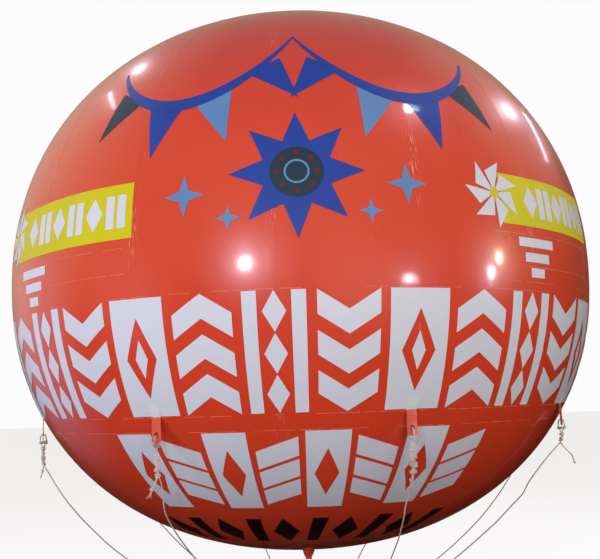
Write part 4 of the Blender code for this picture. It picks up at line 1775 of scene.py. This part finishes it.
bpy.context.scene.view_settings.view_transform = "Standard"
room = bpy.context.scene.world or bpy.data.worlds.new("room")
bpy.context.scene.world = room
room.use_nodes = True
tree = room.node_tree
tree.nodes.clear()
toward = add_node(tree, "ShaderNodeTexCoord")
height_part = add_node(tree, "ShaderNodeSeparateXYZ", {"Vector": toward.outputs["Generated"]})
level = add_node(tree, "ShaderNodeMapRange", {"Value": height_part.outputs["Z"], "From Min": -1.0})
hall = add_node(tree, "ShaderNodeValToRGB", {"Fac": level.outputs["Result"]})
HALL_STOPS = (
    (0.00, "#1E0E0A"),
    (0.30, "#1E100C"),
    (0.45, "#45382E"),
    (0.56, "#948B76"),
    (0.80, "#A69D88"),
    (1.00, "#737890"),
)
while len(hall.color_ramp.elements) < len(HALL_STOPS):
    hall.color_ramp.elements.new(0.5)
for stop, (position, code) in zip(hall.color_ramp.elements, HALL_STOPS):
    stop.position = position
    stop.color = linear(code)


def room_patch(below, middle, outer, inner, colour, strength, blend="ADD"):
    """A soft patch of the room: full within the inner angle and gone at the outer. It adds light, or covers."""
    near = add_node(
        tree, "ShaderNodeVectorMath", {0: toward.outputs["Generated"], 1: middle}, operation="DOT_PRODUCT"
    )
    fade = add_node(
        tree,
        "ShaderNodeMapRange",
        {
            "Value": near.outputs["Value"],
            "From Min": math.cos(math.radians(outer)),
            "From Max": math.cos(math.radians(inner)),
            "To Max": strength,
        },
        interpolation_type="SMOOTHSTEP",
    )
    return add_node(
        tree,
        "ShaderNodeMix",
        {"Factor": fade.outputs["Result"], 6: below, 7: linear(colour)},
        data_type="RGBA",
        blend_type=blend,
        clamp_factor=False,
    ).outputs[2]


mirrored = room_patch(hall.outputs["Color"], direction(138, -12), 52, 15, "#180C08", 0.80, "MIX")
mirrored = room_patch(mirrored, direction(-112, 22), 50, 10, "#FFF0DC", 0.36)
mirrored = room_patch(mirrored, direction(-116, -10), 30, 6, "#D6CCFF", 0.36)
mirrored = room_patch(mirrored, direction(0, 4), 66, 10, "#FFF0E0", 0.17)
mirrored = room_patch(mirrored, direction(124, 36), 30, 8, "#FFFAF0", 0.20)
ray = add_node(tree, "ShaderNodeLightPath")
hall_light = add_node(tree, "ShaderNodeBackground", {"Color": mirrored, "Strength": 1.0})
backdrop = add_node(tree, "ShaderNodeBackground", {"Color": linear("#FCFCFC"), "Strength": 1.0})
seen = add_node(
    tree,
    "ShaderNodeMixShader",
    {"Fac": ray.outputs["Is Camera Ray"], 1: hall_light.outputs[0], 2: backdrop.outputs[0]},
)
add_node(tree, "ShaderNodeOutputWorld", {"Surface": seen.outputs[0]})
print("the room has", len(tree.nodes), "nodes")

# %% [markdown]
# Two wide soft lights at the camera's level carry the film's own colour, the stronger one from the left. They
# aren't mirrored, because the hall above already is. The small lamps are the hall's own, each put where
# its mirror image falls on one of the picture's bright points.


# %% The lamps
def add_lamp(name, place, size, power, colour, mirrored=True):
    bpy.ops.object.light_add(type="AREA", location=place)
    lamp = bpy.context.object
    lamp.name = name
    lamp.data.shape = "DISK"
    lamp.data.size = size
    lamp.data.energy = power
    lamp.data.color = linear(colour)[:3]
    lamp.rotation_euler = (-Vector(place)).to_track_quat("-Z", "Y").to_euler()
    lamp.visible_glossy = mirrored
    return lamp


def add_strip(name, start, end, width, power, colour):
    """A long narrow lamp between two places, facing the balloon."""
    start, end = Vector(start), Vector(end)
    middle = (start + end) / 2
    lamp = add_lamp(name, middle, width, power, colour)
    lamp.data.shape = "RECTANGLE"
    lamp.data.size = (end - start).length
    lamp.data.size_y = width
    along = (end - start).normalized()
    back = (middle - along * middle.dot(along)).normalized()
    lamp.rotation_euler = Matrix((along, back.cross(along), back)).transposed().to_euler()
    return lamp


key_place = [11.0 * part for part in direction(-56, -5)]
fill_place = [11.0 * part for part in direction(22, -5)]
add_lamp("left_key_light", key_place, 5.0, 520.0, "#EEF0FF", mirrored=False)
add_lamp("right_fill_light", fill_place, 5.0, 330.0, "#FFF6E8", mirrored=False)
COOL = "#E6EAFF"
WARM = "#FFEFC8"
add_lamp("hall_lamp_1", (-2.31, -10.53, 0.46), 0.55, 190.0, COOL)
add_lamp("hall_lamp_2", (5.72, -3.09, 7.99), 0.50, 75.0, COOL)
add_lamp("hall_lamp_3", (6.53, 3.99, 6.02), 0.50, 55.0, COOL)
add_lamp("hall_lamp_4", (6.91, -8.16, -0.52), 0.34, 45.0, COOL)
add_lamp("hall_lamp_5", (9.99, -2.57, 0.87), 0.55, 60.0, WARM)
add_lamp("hall_lamp_6", (9.87, -3.30, 0.13), 0.60, 75.0, COOL)
add_lamp("hall_lamp_7", (-4.88, 3.53, 7.52), 0.36, 30.0, COOL)
add_strip("hall_strip_left", (-5.85, 3.62, 6.77), (-6.71, 1.04, 7.22), 0.16, 14.0, COOL)
add_strip("hall_strip_right", (5.30, 6.10, 4.98), (7.28, 4.87, 4.14), 0.20, 16.0, COOL)
add_strip("hall_strip_low", (9.87, -3.30, 0.03), (9.87, -3.29, -0.57), 0.14, 6.0, COOL)

# %% Update the view layer
bpy.context.view_layer.update()
